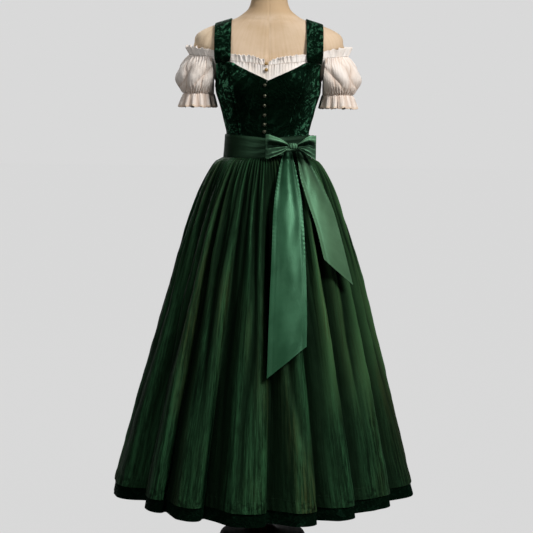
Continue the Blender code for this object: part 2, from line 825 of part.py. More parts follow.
def make_straps():
    """Velvet straps over the shoulders, from the front edge to the back edge of the bodice."""
    front = strap_end_row(STRAP_FRONT, BODICE_LAYER)
    back = strap_end_row(STRAP_BACK, BODICE_LAYER)
    rows = [front]
    for row in range(1, STRAP_ROWS - 1):
        share = 0.5 - 0.5 * math.cos(math.pi * row / (STRAP_ROWS - 1))
        line = []
        for column in range(STRAP_COLUMNS + 1):
            across = column / STRAP_COLUMNS
            x = STRAP_INNER_X + (STRAP_OUTER_X - STRAP_INNER_X) * across
            x -= STRAP_BACK_DRAWN_IN * blend(*STRAP_BACK_SPAN, share)
            leaving = blend(-STRAP_FOOT_SHARE / 2, STRAP_FOOT_SHARE, share)
            x = front[column][0] + (x - front[column][0]) * leaving
            ends = [math.atan2(point[2] - STRAP_PIVOT_Z, -point[1]) for point in (front[column], back[column])]
            tilt = ends[0] + (ends[1] % (2 * math.pi) - ends[0]) * share
            line.append(along_ray(x, tilt))
        rows.append(line)
    rows.append(back)
    outer = np.array(rows)
    inner = moved_out(outer, -VELVET_WALL, False)
    shell("strap_right", outer, inner, False, velvet())
    shell("strap_left", mirrored(outer), mirrored(inner), False, velvet())


# ---------------------------------------------------------------- buttons


def bodice_point(angle, z):
    return on_figure(angle, z, BODICE_LAYER)


def placket_point(angle, z):
    """Point just in front of the placket, and of the ends of the ruffle above it."""
    return blouse_point(angle, z, -PLACKET_STAND_OFF)


def make_button(name, x, z, surface_at, surface):
    """Domed button, its flat back just clear of the cloth that surface_at describes."""
    angle = 0.0
    for _ in range(SETTLING_STEPS):
        angle = math.degrees(math.asin(x / np.linalg.norm(surface_at(angle, z)[:2])))
    up = surface_at(angle, z + SLOPE_REACH) - surface_at(angle, z - SLOPE_REACH)
    up /= np.linalg.norm(up)
    out = np.cross(np.array((1.0, math.tan(math.radians(angle)), 0.0)), up)
    out /= np.linalg.norm(out)
    across = np.cross(up, out)
    seat = surface_at(angle, z) + out * BUTTON_CLEARANCE
    rings = []
    turns = [column * math.tau / BUTTON_COLUMNS for column in range(BUTTON_COLUMNS)]
    for ring in BUTTON_RINGS:
        rings.append([
            seat + out * ring.height * BUTTON_HEIGHT
            + BUTTON_RADIUS * ring.radius * (across * math.cos(turn) + up * math.sin(turn))
            for turn in turns
        ])
    loft(name, rings, surface)


def make_buttons():
    for number, z in enumerate(BODICE_BUTTON_HEIGHTS, 1):
        make_button(f"bodice_button_{number}", BODICE_BUTTON_X, z, bodice_point, aged_metal())
    for number, z in enumerate(BLOUSE_BUTTON_HEIGHTS, 1):
        make_button(f"blouse_button_{number}", BLOUSE_BUTTON_X, z, placket_point, brass())


# ---------------------------------------------------------------- blouse


def neckline_radius(angle):
    """Polar radius of the gathered line round chest, arms and back."""
    square = NECKLINE_SQUARE_FRONT if both_sides(angle) < 90.0 else NECKLINE_SQUARE_BACK
    return rounded_radius(angle, NECKLINE_HALF_WIDTH, NECKLINE_FRONT, NECKLINE_BACK, square)


def blouse_point(angle, z, inward=0.0):
    """Point of the blouse's body: on the form inside the bodice, out to the gathered line above it."""
    side = both_sides(angle)
    rise = blend(BODICE_TOP_AT(side) + BLOUSE_LEAVES_BODICE, NECKLINE_AT["z"](side), z)
    low = figure_radius(angle, z) + BLOUSE_LAYER
    high = neckline_radius(angle)
    return polar_point(angle, low + (high - low) * rise - inward, z)


def blouse_top(angle):
    """Top of the blouse's body: the gathered line, and the armhole cut down to the underarm."""
    side = both_sides(angle)
    line = NECKLINE_AT["z"](side) - NECKLINE_SEAM
    reach = ARMHOLE_FRONT if side < 90.0 else ARMHOLE_BACK
    dip = 1.0 - min(abs(side - 90.0) / abs(reach - 90.0), 1.0)
    return line + (UNDERARM_Z - line) * dip ** ARMHOLE_CURVE


def make_blouse_panel(name, start, end, spans):
    """Cotton panel from below the bust up to the gathered line."""
    inset = math.degrees(SEAM_GAP / 2 / NECKLINE_FRONT)
    angles = np.linspace(start + inset, end - inset, spans + 1)
    outer = []
    inner = []
    levels = []
    for angle in angles:
        top = blouse_top(angle)
        leaving = min(BODICE_TOP_AT(both_sides(angle)) + BLOUSE_LEAVES_BODICE, top - BLOUSE_LEAST_RISE)
        covered = np.linspace(BLOUSE_BOTTOM, leaving, BLOUSE_ROWS_IN_BODICE)
        levels.append([*covered, *np.linspace(leaving, top, BLOUSE_ROWS_ABOVE + 1)[1:]])
    for heights in zip(*levels):
        outer.append([blouse_point(angle, z) for angle, z in zip(angles, heights)])
        inner.append([blouse_point(angle, z, BLOUSE_WALL) for angle, z in zip(angles, heights)])
    shell(name, np.array(outer), np.array(inner), False, cotton())


def make_blouse():
    """Two fronts that meet at the placket, and a back."""
    make_blouse_panel("blouse_front_left", -90.0, PLACKET_ANGLE, 10)
    make_blouse_panel("blouse_front_right", PLACKET_ANGLE, 90.0, 10)
    make_blouse_panel("blouse_back", 90.0, 270.0, 20)


def make_neckline_ruffle():
    """One waved strip that stands up from the gathered line and opens at the placket."""
    spans = NECKLINE_WAVES * 2
    start = PLACKET_ANGLE + PLACKET_HALF_GAP
    angles = np.linspace(start, start + 360.0 - 2 * PLACKET_HALF_GAP, spans + 1)
    rows = []
    for rise in (0.0, 1.0):
        line = []
        for column, angle in enumerate(angles):
            at = {name: curve(both_sides(angle)) for name, curve in NECKLINE_AT.items()}
            sway = at["wave"] * (-1) ** column
            sway *= NECKLINE_FOOT_WAVE + (1 - NECKLINE_FOOT_WAVE) * rise
            radius = neckline_radius(angle) + at["lean"] * rise + sway
            line.append(polar_point(angle, radius, at["z"] + at["height"] * rise))
        rows.append(line)
    middle = np.array(rows)
    outer = moved_out(middle, RUFFLE_WALL / 2, False)
    inner = moved_out(middle, -RUFFLE_WALL / 2, False)
    floor = np.array([NECKLINE_AT["z"](both_sides(angle)) for angle in angles])
    for grid in (outer, inner):
        grid[0, :, 2] = floor
    shell("neckline_ruffle", outer, inner, False, cotton())


# ---------------------------------------------------------------- sleeves


def sleeve_rings():
    """Head ring, foot ring and outward direction, one row for each column of the right sleeve."""
    head = []
    for angle in np.linspace(ARMHOLE_FRONT, ARMHOLE_BACK, SLEEVE_OUTER_COLUMNS, endpoint=False):
        radius = neckline_radius(angle)
        head.append(polar_point(angle, radius, NECKLINE_AT["z"](angle) - NECKLINE_SEAM))
    for angle in np.linspace(ARMHOLE_BACK, ARMHOLE_FRONT, SLEEVE_INNER_COLUMNS, endpoint=False):
        lapped = -(BLOUSE_WALL + SEAM_GAP)
        head.append(blouse_point(angle, blouse_top(angle), lapped))
    around = SLEEVE_FRONT_TURN + 360.0
    outer_turns = np.linspace(SLEEVE_FRONT_TURN, SLEEVE_BACK_TURN, SLEEVE_OUTER_COLUMNS, endpoint=False)
    inner_turns = np.linspace(SLEEVE_BACK_TURN, around, SLEEVE_INNER_COLUMNS, endpoint=False)
    turns = np.radians([*outer_turns, *inner_turns])
    directions = [np.array((math.cos(turn), math.sin(turn), 0.0)) for turn in turns]
    size = np.array((SLEEVE_FOOT_HALF_WIDTH, SLEEVE_FOOT_HALF_DEPTH, 0.0))
    middle = np.array((SLEEVE_FOOT_X, 0.0, SLEEVE_FOOT_Z))
    foot = [middle + size * direction for direction in directions]
    return head, foot, directions


def make_sleeves():
    """Puff sleeves from the gathered line and the armhole down to the gathered foot."""
    head, foot, directions = sleeve_rings()
    rows = []
    for point in reversed(PUFF):
        line = []
        for column, (top, bottom, outward) in enumerate(zip(head, foot, directions)):
            place = top + (bottom - top) * point.down
            fullness = PUFF_INNER_SHARE + (1 - PUFF_INNER_SHARE) * (0.5 + 0.5 * outward[0])
            place = place + outward * PUFF_BULGE * PUFF_AT(point.down) * fullness
            gather = SLEEVE_GATHER * (-1) ** column * (1.0 - PUFF_AT(point.down))
            if point.down > 0.0:
                place = place + outward * gather
                place[0] = max(place[0], SLEEVE_INNER_LIMIT)
            line.append(place)
        rows.append(line)
    outer = np.array(rows)
    inner = moved_out(outer, -BLOUSE_WALL, True)
    inner[0, :, 2] = outer[0, :, 2]
    shell("sleeve_right", outer, inner, True, cotton())
    shell("sleeve_left", mirrored(outer), mirrored(inner), True, cotton())


def make_cuff_ruffles():
    """Waved ruffles that flare below the gathered foot of each sleeve."""
    count = CUFF_WAVES * CUFF_COLUMNS_PER_WAVE
    rows = []
    for row in range(CUFF_ROWS, -1, -1):
        down = row / CUFF_ROWS
        line = []
        for column in range(count):
            turn = column * math.tau / count
            wave = math.cos(column * math.tau / CUFF_COLUMNS_PER_WAVE) * CUFF_WAVE
            wave *= CUFF_TOP_WAVE + (1 - CUFF_TOP_WAVE) * down
            reach = 1.0 if math.cos(turn) > 0 else CUFF_INNER_REACH
            spread = CUFF_FLARE * reach * down ** CUFF_FLARE_CURVE + wave - RUFFLE_WALL / 2
            x = SLEEVE_FOOT_X + (SLEEVE_FOOT_HALF_WIDTH + spread) * math.cos(turn)
            y = (SLEEVE_FOOT_HALF_DEPTH + spread) * math.sin(turn)
            drop = CUFF_HEIGHT + CUFF_BACK_DROP * (0.5 + 0.5 * math.sin(turn))
            line.append((x, y, SLEEVE_FOOT_Z - SEAM_GAP - drop * down))
        rows.append(line)
    middle = np.array(rows)
    outer = moved_out(middle, RUFFLE_WALL / 2, True)
    inner = moved_out(middle, -RUFFLE_WALL / 2, True)
    for grid in (outer, inner):
        grid[-1, :, 2] = SLEEVE_FOOT_Z - SEAM_GAP
    shell("cuff_ruffle_right", outer, inner, True, cotton())
    shell("cuff_ruffle_left", mirrored(outer), mirrored(inner), True, cotton())


# ---------------------------------------------------------------- skirt and apron


class SkirtColumn(NamedTuple):
    """One column of the skirt: its angle, its place in its fold, and its fold's size there.

    The place runs from -1 to 1 between two valleys, and the leaning place is 0 on the ridge.
    """

    angle: float
    place: float
    leaning: float
    depth: float
    reach: float


def skirt_columns():
    """Columns round the skirt, the same number in each fold, from the first valley on."""
    columns = []
    ridges = []
    for number, fold in enumerate(FOLDS):
        following = FOLDS[(number + 1) % len(FOLDS)]
        end = following.valley + (360.0 if number == len(FOLDS) - 1 else 0.0)
        ridges.append(((fold.valley + end) / 2, fold.reach))
    centres = [ridge[0] for ridge in ridges]
    reaches = [ridge[1] for ridge in ridges]
    for number, fold in enumerate(FOLDS):
        following = FOLDS[(number + 1) % len(FOLDS)]
        end = following.valley + (360.0 if number == len(FOLDS) - 1 else 0.0)
        for step in range(COLUMNS_PER_FOLD):
            share = step / COLUMNS_PER_FOLD
            angle = fold.valley + (end - fold.valley) * share
            depth = fold.depth + (following.depth - fold.depth) * blend(0.0, 1.0, share)
            reach = float(np.interp(angle, centres, reaches, period=360.0))
            columns.append(SkirtColumn(angle, 2 * share - 1, 2 * share ** fold.lean - 1, depth, reach))
    return columns


def skirt_envelope(angle, drop, reach=1.0):
    """Polar radius that the apron's ridges reach, below the waist."""
    half_width = SKIRT_WAIST + SKIRT_FLARE * drop
    half_width += SKIRT_SWELL * (1 - math.exp(-drop / SKIRT_SWELL_DROP))
    half_width -= SKIRT_TUCK * math.exp(-drop / SKIRT_TUCK_DROP)
    depth = half_width * SKIRT_AT["roundness"](drop)
    low = 1 - (1 - reach) * drop / HEM_DROP
    return rounded_radius(angle, half_width, depth, depth, 2.0) * low


def skirt_point(column, drop, under_apron):
    """Point on the skirt's outer face. Under the apron its gathers and half folds lie flat."""
    in_gather = 1.0 if under_apron else 0.5 + 0.5 * math.cos(column.place * 4 * math.pi)
    in_half = 1.0 if under_apron else 0.5 + 0.5 * math.cos(column.place * 2 * math.pi)
    in_fold = blend(RIDGE_SHARE, 1.0, abs(column.leaning))
    hollow = SKIRT_AT["gather"](drop) * in_gather
    hollow += SKIRT_AT["half_fold"](drop) * in_half
    hollow += SKIRT_AT["fold"](drop) * column.depth * in_fold
    radius = skirt_envelope(column.angle, drop, column.reach)
    radius -= APRON_WALL + APRON_GAP + hollow
    return polar_point(column.angle, radius, SKIRT_TOP - drop)


def skirt_grid(columns, drops, under_apron):
    return np.array([
        [skirt_point(column, drop, under_apron(column.angle)) for column in columns]
        for drop in reversed(drops)
    ])


def between(columns, start, end):
    """Numbers of the columns from one angle to another, in their order round the skirt."""
    places = []
    for number, column in enumerate(columns):
        for turn in (-360.0, 0.0, 360.0):
            if start - ANGLE_TOLERANCE <= column.angle + turn <= end + ANGLE_TOLERANCE:
                places.append((column.angle + turn, number))
    return [number for _, number in sorted(places)]


def trimmed(grid, gap):
    """The grid with both side edges drawn in, so that two panels part at the seam."""
    result = grid.copy()
    for edge, neighbour in ((0, 1), (-1, -2)):
        inward = grid[:, neighbour] - grid[:, edge]
        length = np.linalg.norm(inward, axis=1, keepdims=True)
        result[:, edge] += inward / length * gap
    return result


def make_skirt(columns):
    """Skirt front and skirt back, seamed at the sides."""
    def hidden(angle):
        return APRON_START + UNDER_APRON_EDGE < (angle + 180.0) % 360.0 - 180.0 < APRON_END - UNDER_APRON_EDGE

    seams = [
        min(columns, key=lambda column: abs(column.angle - side)).angle
        for side in (-SKIRT_SIDE_SEAM, SKIRT_SIDE_SEAM)
    ]
    panels = (
        ("skirt_front", seams[0], seams[1], SKIRT_FRONT_DROPS),
        ("skirt_back", seams[1], seams[0] + 360.0, SKIRT_BACK_DROPS),
    )
    for name, start, end, drops in panels:
        outer = skirt_grid(columns, drops, hidden)
        inner = moved_out(outer, -SKIRT_WALL, True)
        inner[-1, :, 2] = outer[-1, :, 2]
        chosen = between(columns, start, end)
        faces = [trimmed(grid[:, chosen], SEAM_GAP / 2) for grid in (outer, inner)]
        shell(name, faces[0], faces[1], False, velvet())


def make_apron(columns):
    """Apron round the front and the sides, made from the skirt's points moved out."""
    base = skirt_grid(columns, APRON_DROPS, lambda angle: False)
    chosen = between(columns, APRON_START, APRON_END)
    inner = moved_out(base, APRON_GAP, True)[:, chosen]
    outer = moved_out(base, APRON_GAP + APRON_WALL, True)[:, chosen]
    for grid in (inner, outer):
        grid[-1, :, 2] = SKIRT_TOP - APRON_DROPS[0]
    shell("apron", outer, inner, False, taffeta())


# ---------------------------------------------------------------- sash, bow and tails


def make_sash():
    """Satin sash over the bodice's waist, in a front and a back length."""
    for name, start in (("sash_front", -90.0), ("sash_back", 90.0)):
        inset = math.degrees(SEAM_GAP / 2 / FIGURE_AT["half_width"](SASH_BOTTOM))
        spans = int(180.0 / SASH_COLUMN_STEP)
        angles = np.linspace(start + inset, start + 180.0 - inset, spans + 1)
        faces = []
        for layer in (SASH_LAYER, SASH_LAYER - SATIN_WALL):
            rows = []
            for rise in np.linspace(0.0, 1.0, SASH_ROWS + 1):
                line = []
                for angle in angles:
                    top = SASH_TOP_FRONT + (SASH_TOP_SIDE - SASH_TOP_FRONT) * abs(math.sin(math.radians(angle)))
                    line.append(on_figure(angle, SASH_BOTTOM + (top - SASH_BOTTOM) * rise, layer))
                rows.append(line)
            faces.append(np.array(rows))
        shell(name, faces[0], faces[1], False, satin())


def make_knot():
    """Rounded knot of the bow."""
    rings = []
    for level in np.linspace(-KNOT_END, KNOT_END, KNOT_LEVELS):
        width = (1 - abs(level) ** KNOT_SQUARE) ** (1 / KNOT_SQUARE)
        ring = []
        for column in range(KNOT_COLUMNS):
            turn = column * math.tau / KNOT_COLUMNS
            offset = np.array((math.cos(turn) * width, math.sin(turn) * width, level))
            ring.append(np.array(KNOT_CENTRE) + offset * KNOT_HALF_SIZE)
        rings.append(ring)
    loft("bow_knot", rings, satin())


def loop_grid(sections):
    """Ribbon from the knot out along the front layer and back along the rear one."""
    path = [(section, section.front_y) for section in sections]
    path += [(section, section.back_y) for section in reversed(sections)]
    grid = []
    for row in range(LOOP_ROWS + 1):
        rise = row / LOOP_ROWS
        line = []
        for section, y in path:
            open_share = (section.top - section.bottom) / (LOOP_LEFT[-1].top - LOOP_LEFT[-1].bottom)
            pucker = LOOP_PUCKER * math.cos(rise * math.tau * PUCKERS) * math.sin(math.pi * open_share)
            forward = -pucker if y == section.front_y else 0.0
            line.append((section.x, y + forward, section.bottom + (section.top - section.bottom) * rise))
        grid.append(line)
    return np.array(grid)


def make_bow():
    """Knot and two loops, each loop one ribbon laid double with a hollow between."""
    make_knot()
    for name, sections in (("bow_loop_left", LOOP_LEFT), ("bow_loop_right", LOOP_RIGHT)):
        outer = loop_grid(sections)
        toward_front = face_normals(outer, False)[0, 0, 1] < 0
        inward = -SATIN_WALL if toward_front else SATIN_WALL
        shell(name, outer, moved_out(outer, inward, False), False, satin())


def tail_point(x, z):
    """Point in front of the apron's ridges, or below the knot above them."""
    drop = max(SKIRT_TOP - z, 0.0)
    angle = 0.0
    for _ in range(SETTLING_STEPS):
        radius = skirt_envelope(angle, drop, TAIL_OVER_RIDGES) + TAIL_STAND_OFF
        angle = math.degrees(math.asin(min(x / radius, MOST_SINE)))
    y = -radius * math.cos(math.radians(angle))
    rise = blend(SKIRT_TOP - TAIL_RISE_BELOW, SKIRT_TOP + TAIL_RISE_ABOVE, z)
    return np.array((x, y + (min(TAIL_TOP_Y, y) - y) * rise, z))


def make_tail(name, sections):
    """Satin tail that hangs from the knot in front of the apron, cut aslant at its end."""
    places = np.linspace(0.0, 1.0, len(sections))
    edges = {field: Curve(places, [getattr(row, field) for row in sections]) for field in sections[0]._fields}
    rows = []
    for down in np.linspace(1.0, 0.0, TAIL_ROWS + 1):
        line = []
        for across in np.linspace(0.0, 1.0, TAIL_COLUMNS + 1):
            x = edges["left_x"](down) + (edges["right_x"](down) - edges["left_x"](down)) * across
            z = edges["left_z"](down) + (edges["right_z"](down) - edges["left_z"](down)) * across
            crease = TAIL_CREASE * (1 - down) * math.sin(across * math.pi) ** 2
            line.append(tail_point(x, z) - np.array((0.0, crease, 0.0)))
        rows.append(line)
    outer = np.array(rows)
    shell(name, outer, moved_out(outer, -SATIN_WALL, False), False, satin())


# ---------------------------------------------------------------- whole object


def main():
    for leftover in list(bpy.data.objects):
        bpy.data.objects.remove(leftover)
    make_form()
    make_stand()
    make_blouse()
    make_neckline_ruffle()
    make_sleeves()
    make_cuff_ruffles()
    make_bodice()
    make_straps()
    make_buttons()
    columns = skirt_columns()
    make_skirt(columns)
    make_apron(columns)
    make_sash()
    make_bow()
    make_tail("tail_long", TAIL_LONG)
    make_tail("tail_short", TAIL_SHORT)


main()
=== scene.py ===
"""Visual model of a dirndl dress on a limbless dress form.

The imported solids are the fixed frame. Each cloth piece is built here again on its solid's own form, from
the same named sizes, with the gathers, creases, hems and stitches that the plain walls leave out.

Metres, +Z up, front towards -Y, +X to the right as seen from the front. A polar angle runs round the
figure: 0 at the front, 90 at +X, 180 at the back. Grids have rows upward and columns of rising angle.
"""

from __future__ import annotations

import logging
import math
from dataclasses import dataclass, field
from enum import Enum
from typing import Callable, NamedTuple, Sequence

import bmesh
import bpy
import numpy as np
from mathutils import Matrix, Vector

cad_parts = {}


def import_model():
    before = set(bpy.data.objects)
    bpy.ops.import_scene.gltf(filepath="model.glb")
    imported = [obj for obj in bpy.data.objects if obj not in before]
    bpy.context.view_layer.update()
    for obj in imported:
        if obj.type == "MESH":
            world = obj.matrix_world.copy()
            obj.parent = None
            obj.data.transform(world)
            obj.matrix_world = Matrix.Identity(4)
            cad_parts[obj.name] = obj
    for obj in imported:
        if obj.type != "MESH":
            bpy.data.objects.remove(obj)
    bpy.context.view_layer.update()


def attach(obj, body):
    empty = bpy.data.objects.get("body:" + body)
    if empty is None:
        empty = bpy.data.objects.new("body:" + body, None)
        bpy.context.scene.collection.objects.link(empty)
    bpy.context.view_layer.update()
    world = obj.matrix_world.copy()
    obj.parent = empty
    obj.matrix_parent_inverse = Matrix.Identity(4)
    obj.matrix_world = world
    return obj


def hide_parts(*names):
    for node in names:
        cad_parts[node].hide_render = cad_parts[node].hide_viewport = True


LOG = logging.getLogger("dirndl")
BODY = "root"
# Point attribute with the painted shade of each place of a cloth, by how closed in it is.
SHADE_ATTRIBUTE = "hollow"
# Distance of stitches above their cloth, in metres.
STITCH_LIFT = 0.0001
# Rounds of a search that comes closer to an angle or a height each time.
PASSES = 12

Array = np.ndarray
Angle = Callable[[Array], Array]
Colour = tuple[float, float, float, float]
Point = tuple[float, float, float]
Pair = tuple[float, float]
Material = bpy.types.Material
Node = bpy.types.Node
NodeTree = bpy.types.NodeTree
Object = bpy.types.Object
Socket = bpy.types.NodeSocket


# ---------------------------------------------------------------- numbers along a line


@dataclass(frozen=True)
class Curve:
    """Smooth curve through rising places and their values, which never swings past them."""

    places: tuple[float, ...]
    values: tuple[float, ...]

    def __call__(self, place: Array | float) -> Array:
        """Value at each place, held level past both ends."""
        places = np.asarray(self.places)
        values = np.asarray(self.values)
        slopes = np.diff(values) / np.diff(places)
        tangents = np.concatenate([slopes[:1], np.zeros(len(slopes) - 1), slopes[-1:]])
        agree = slopes[:-1] * slopes[1:] > 0
        tangents[1:-1][agree] = 2 / (1 / slopes[:-1][agree] + 1 / slopes[1:][agree])
        at = np.clip(place, places[0], places[-1])
        row = np.clip(np.searchsorted(places, at, side="right") - 1, 0, len(places) - 2)
        step = places[row + 1] - places[row]
        t = (at - places[row]) / step
        start = values[row] * (1 + 2 * t) + tangents[row] * step * t
        end = values[row + 1] * (3 - 2 * t) + tangents[row + 1] * step * (t - 1)
        return start * (1 - t) ** 2 + end * t**2


def curves(columns: str, rows: Sequence[Sequence[float]]) -> dict[str, Curve]:
    """Name each column of a table and make it a curve over the places in the first column.

    Args:
        columns: names of the columns after the first, in their order.
        rows: the table's rows.

    Returns:
        One curve for each named column.
    """
    places = tuple(row[0] for row in rows)
    names = columns.split()
    return {name: Curve(places, tuple(row[place + 1] for row in rows)) for place, name in enumerate(names)}


def blend(low: Array | float, high: Array | float, place: Array | float) -> Array:
    """Rise from 0 at low to 1 at high with soft ends."""
    t = np.clip((place - low) / (high - low), 0.0, 1.0)
    return t * t * (3 - 2 * t)


def hump(place: Array, centre: float, width: float) -> Array:
    """Rounded hump of height 1 at a centre."""
    return np.exp(-(((place - centre) / width) ** 2))


def fading(distance: Array, reach: float) -> Array:
    """Share left at a distance: 1 at 0, about a third at the reach."""
    return np.exp(-distance / reach)


@dataclass(frozen=True)
class Sway:
    """Slow uneven swing between -1 and 1, made of a few sines that are the same on each run."""

    seed: int
    slowest: float
    fastest: float
    count: int = 5

    def __call__(self, *places: Array | float) -> Array:
        """Swing at a place given in one or more directions."""
        draw = np.random.default_rng(self.seed)
        total: Array = np.zeros(1)
        weight = 0.0
        for speed in np.geomspace(self.slowest, self.fastest, self.count):
            phase = draw.uniform(0, math.tau)
            arg: Array = np.full(1, phase)
            for place in places:
                arg = arg + place * speed * draw.uniform(0.7, 1.3) * draw.choice((-1.0, 1.0))
            share = 1.0 / math.sqrt(speed / self.slowest)
            total = total + np.sin(arg) * share
            weight += share
        return total / weight * 1.4


def both_sides(angle: Array | float) -> Array:
    """Angle from the front, 0 to 180, whichever side it is on."""
    return np.abs((np.asarray(angle, float) + 180.0) % 360.0 - 180.0)


def row_steps(start: float, end: float, count: int) -> Array:
    """Even steps with one value for each row of a grid."""
    return np.linspace(start, end, count)[:, None]


def column_steps(start: float, end: float, count: int) -> Array:
    """Even steps with one value for each column of a grid."""
    return np.linspace(start, end, count)[None, :]


def round_steps(count: int) -> Array:
    """Turns round a closed ring in radians, with one value for each column of a grid."""
    return np.arange(count)[None, :] * math.tau / count


def grid_of(x: Array, y: Array, z: Array) -> Array:
    """Grid of points from their coordinates."""
    return np.stack(np.broadcast_arrays(x, y, z), axis=-1)


def polar(angle: Array, radius: Array, z: Array) -> Array:
    """Points at polar angles in degrees, radii and heights."""
    turn = np.radians(angle)
    return grid_of(radius * np.sin(turn), -radius * np.cos(turn), z)


def rounded_radius(angle: Array, half_width: Array, front: Array, back: Array, square: Array) -> Array:
    """Polar radius of a rounded outline; square is its power, 2 for an ellipse."""
    turn = np.radians(angle)
    depth = np.where(np.cos(turn) > 0, front, back)
    across = np.abs(np.sin(turn)) / half_width
    along = np.abs(np.cos(turn)) / depth
    return (across**square + along**square) ** (-1 / square)


# ---------------------------------------------------------------- the general figure


@dataclass(frozen=True)
class Figure:
    """Skin of the form, and the layers of cloth that lie on it."""

    bust_angle: float = 37.0
    bust_spread: float = 17.0
    bust_height: float = 1.295
    bust_length: float = 0.042
    bust_rise: float = 0.012
    blouse: float = 0.0045
    bodice: float = 0.010
    sash: float = 0.0133
    sections: dict[str, Curve] = field(default_factory=lambda: curves("half_width front back square", (
        (0.930, 0.1500, 0.098, 0.106, 2.0), (0.990, 0.1550, 0.102, 0.112, 2.0),
        (1.050, 0.1320, 0.094, 0.100, 2.0), (1.103, 0.1080, 0.086, 0.090, 2.0),
        (1.135, 0.1050, 0.085, 0.084, 2.0), (1.168, 0.1035, 0.084, 0.081, 2.0),
        (1.195, 0.1090, 0.087, 0.082, 2.1), (1.217, 0.1145, 0.091, 0.084, 2.1),
        (1.239, 0.1200, 0.096, 0.086, 2.2), (1.260, 0.1267, 0.102, 0.088, 2.2),
        (1.282, 0.1335, 0.107, 0.090, 2.3), (1.304, 0.1350, 0.108, 0.090, 2.4),
        (1.340, 0.1380, 0.106, 0.089, 2.9), (1.363, 0.1500, 0.102, 0.088, 3.2),
        (1.380, 0.1680, 0.096, 0.088, 3.3), (1.400, 0.1900, 0.090, 0.088, 3.0),
        (1.423, 0.2016, 0.082, 0.086, 2.6), (1.434, 0.1975, 0.078, 0.084, 2.5),
        (1.450, 0.1750, 0.072, 0.080, 2.4), (1.463, 0.1420, 0.067, 0.076, 2.3),
        (1.477, 0.0980, 0.061, 0.070, 2.2), (1.488, 0.0775, 0.057, 0.065, 2.1),
        (1.508, 0.0560, 0.051, 0.058, 2.0), (1.531, 0.0490, 0.047, 0.053, 2.0),
        (1.556, 0.0470, 0.045, 0.051, 2.0),
    )))

    def radius(self, angle: Array, z: Array) -> Array:
        """Polar radius of the skin."""
        at = {name: curve(z) for name, curve in self.sections.items()}
        side = both_sides(angle)
        rise = self.bust_rise * hump(side, self.bust_angle, self.bust_spread)
        rise = rise * hump(z, self.bust_height, self.bust_length) * (side < 90.0)
        return rounded_radius(angle, at["half_width"], at["front"], at["back"], at["square"]) + rise

    def on(self, angle: Array, z: Array, layer: Array | float) -> Array:
        """Points on a layer that lies on the skin."""
        return polar(angle, self.radius(angle, z) + layer, z)


# ---------------------------------------------------------------- shader building


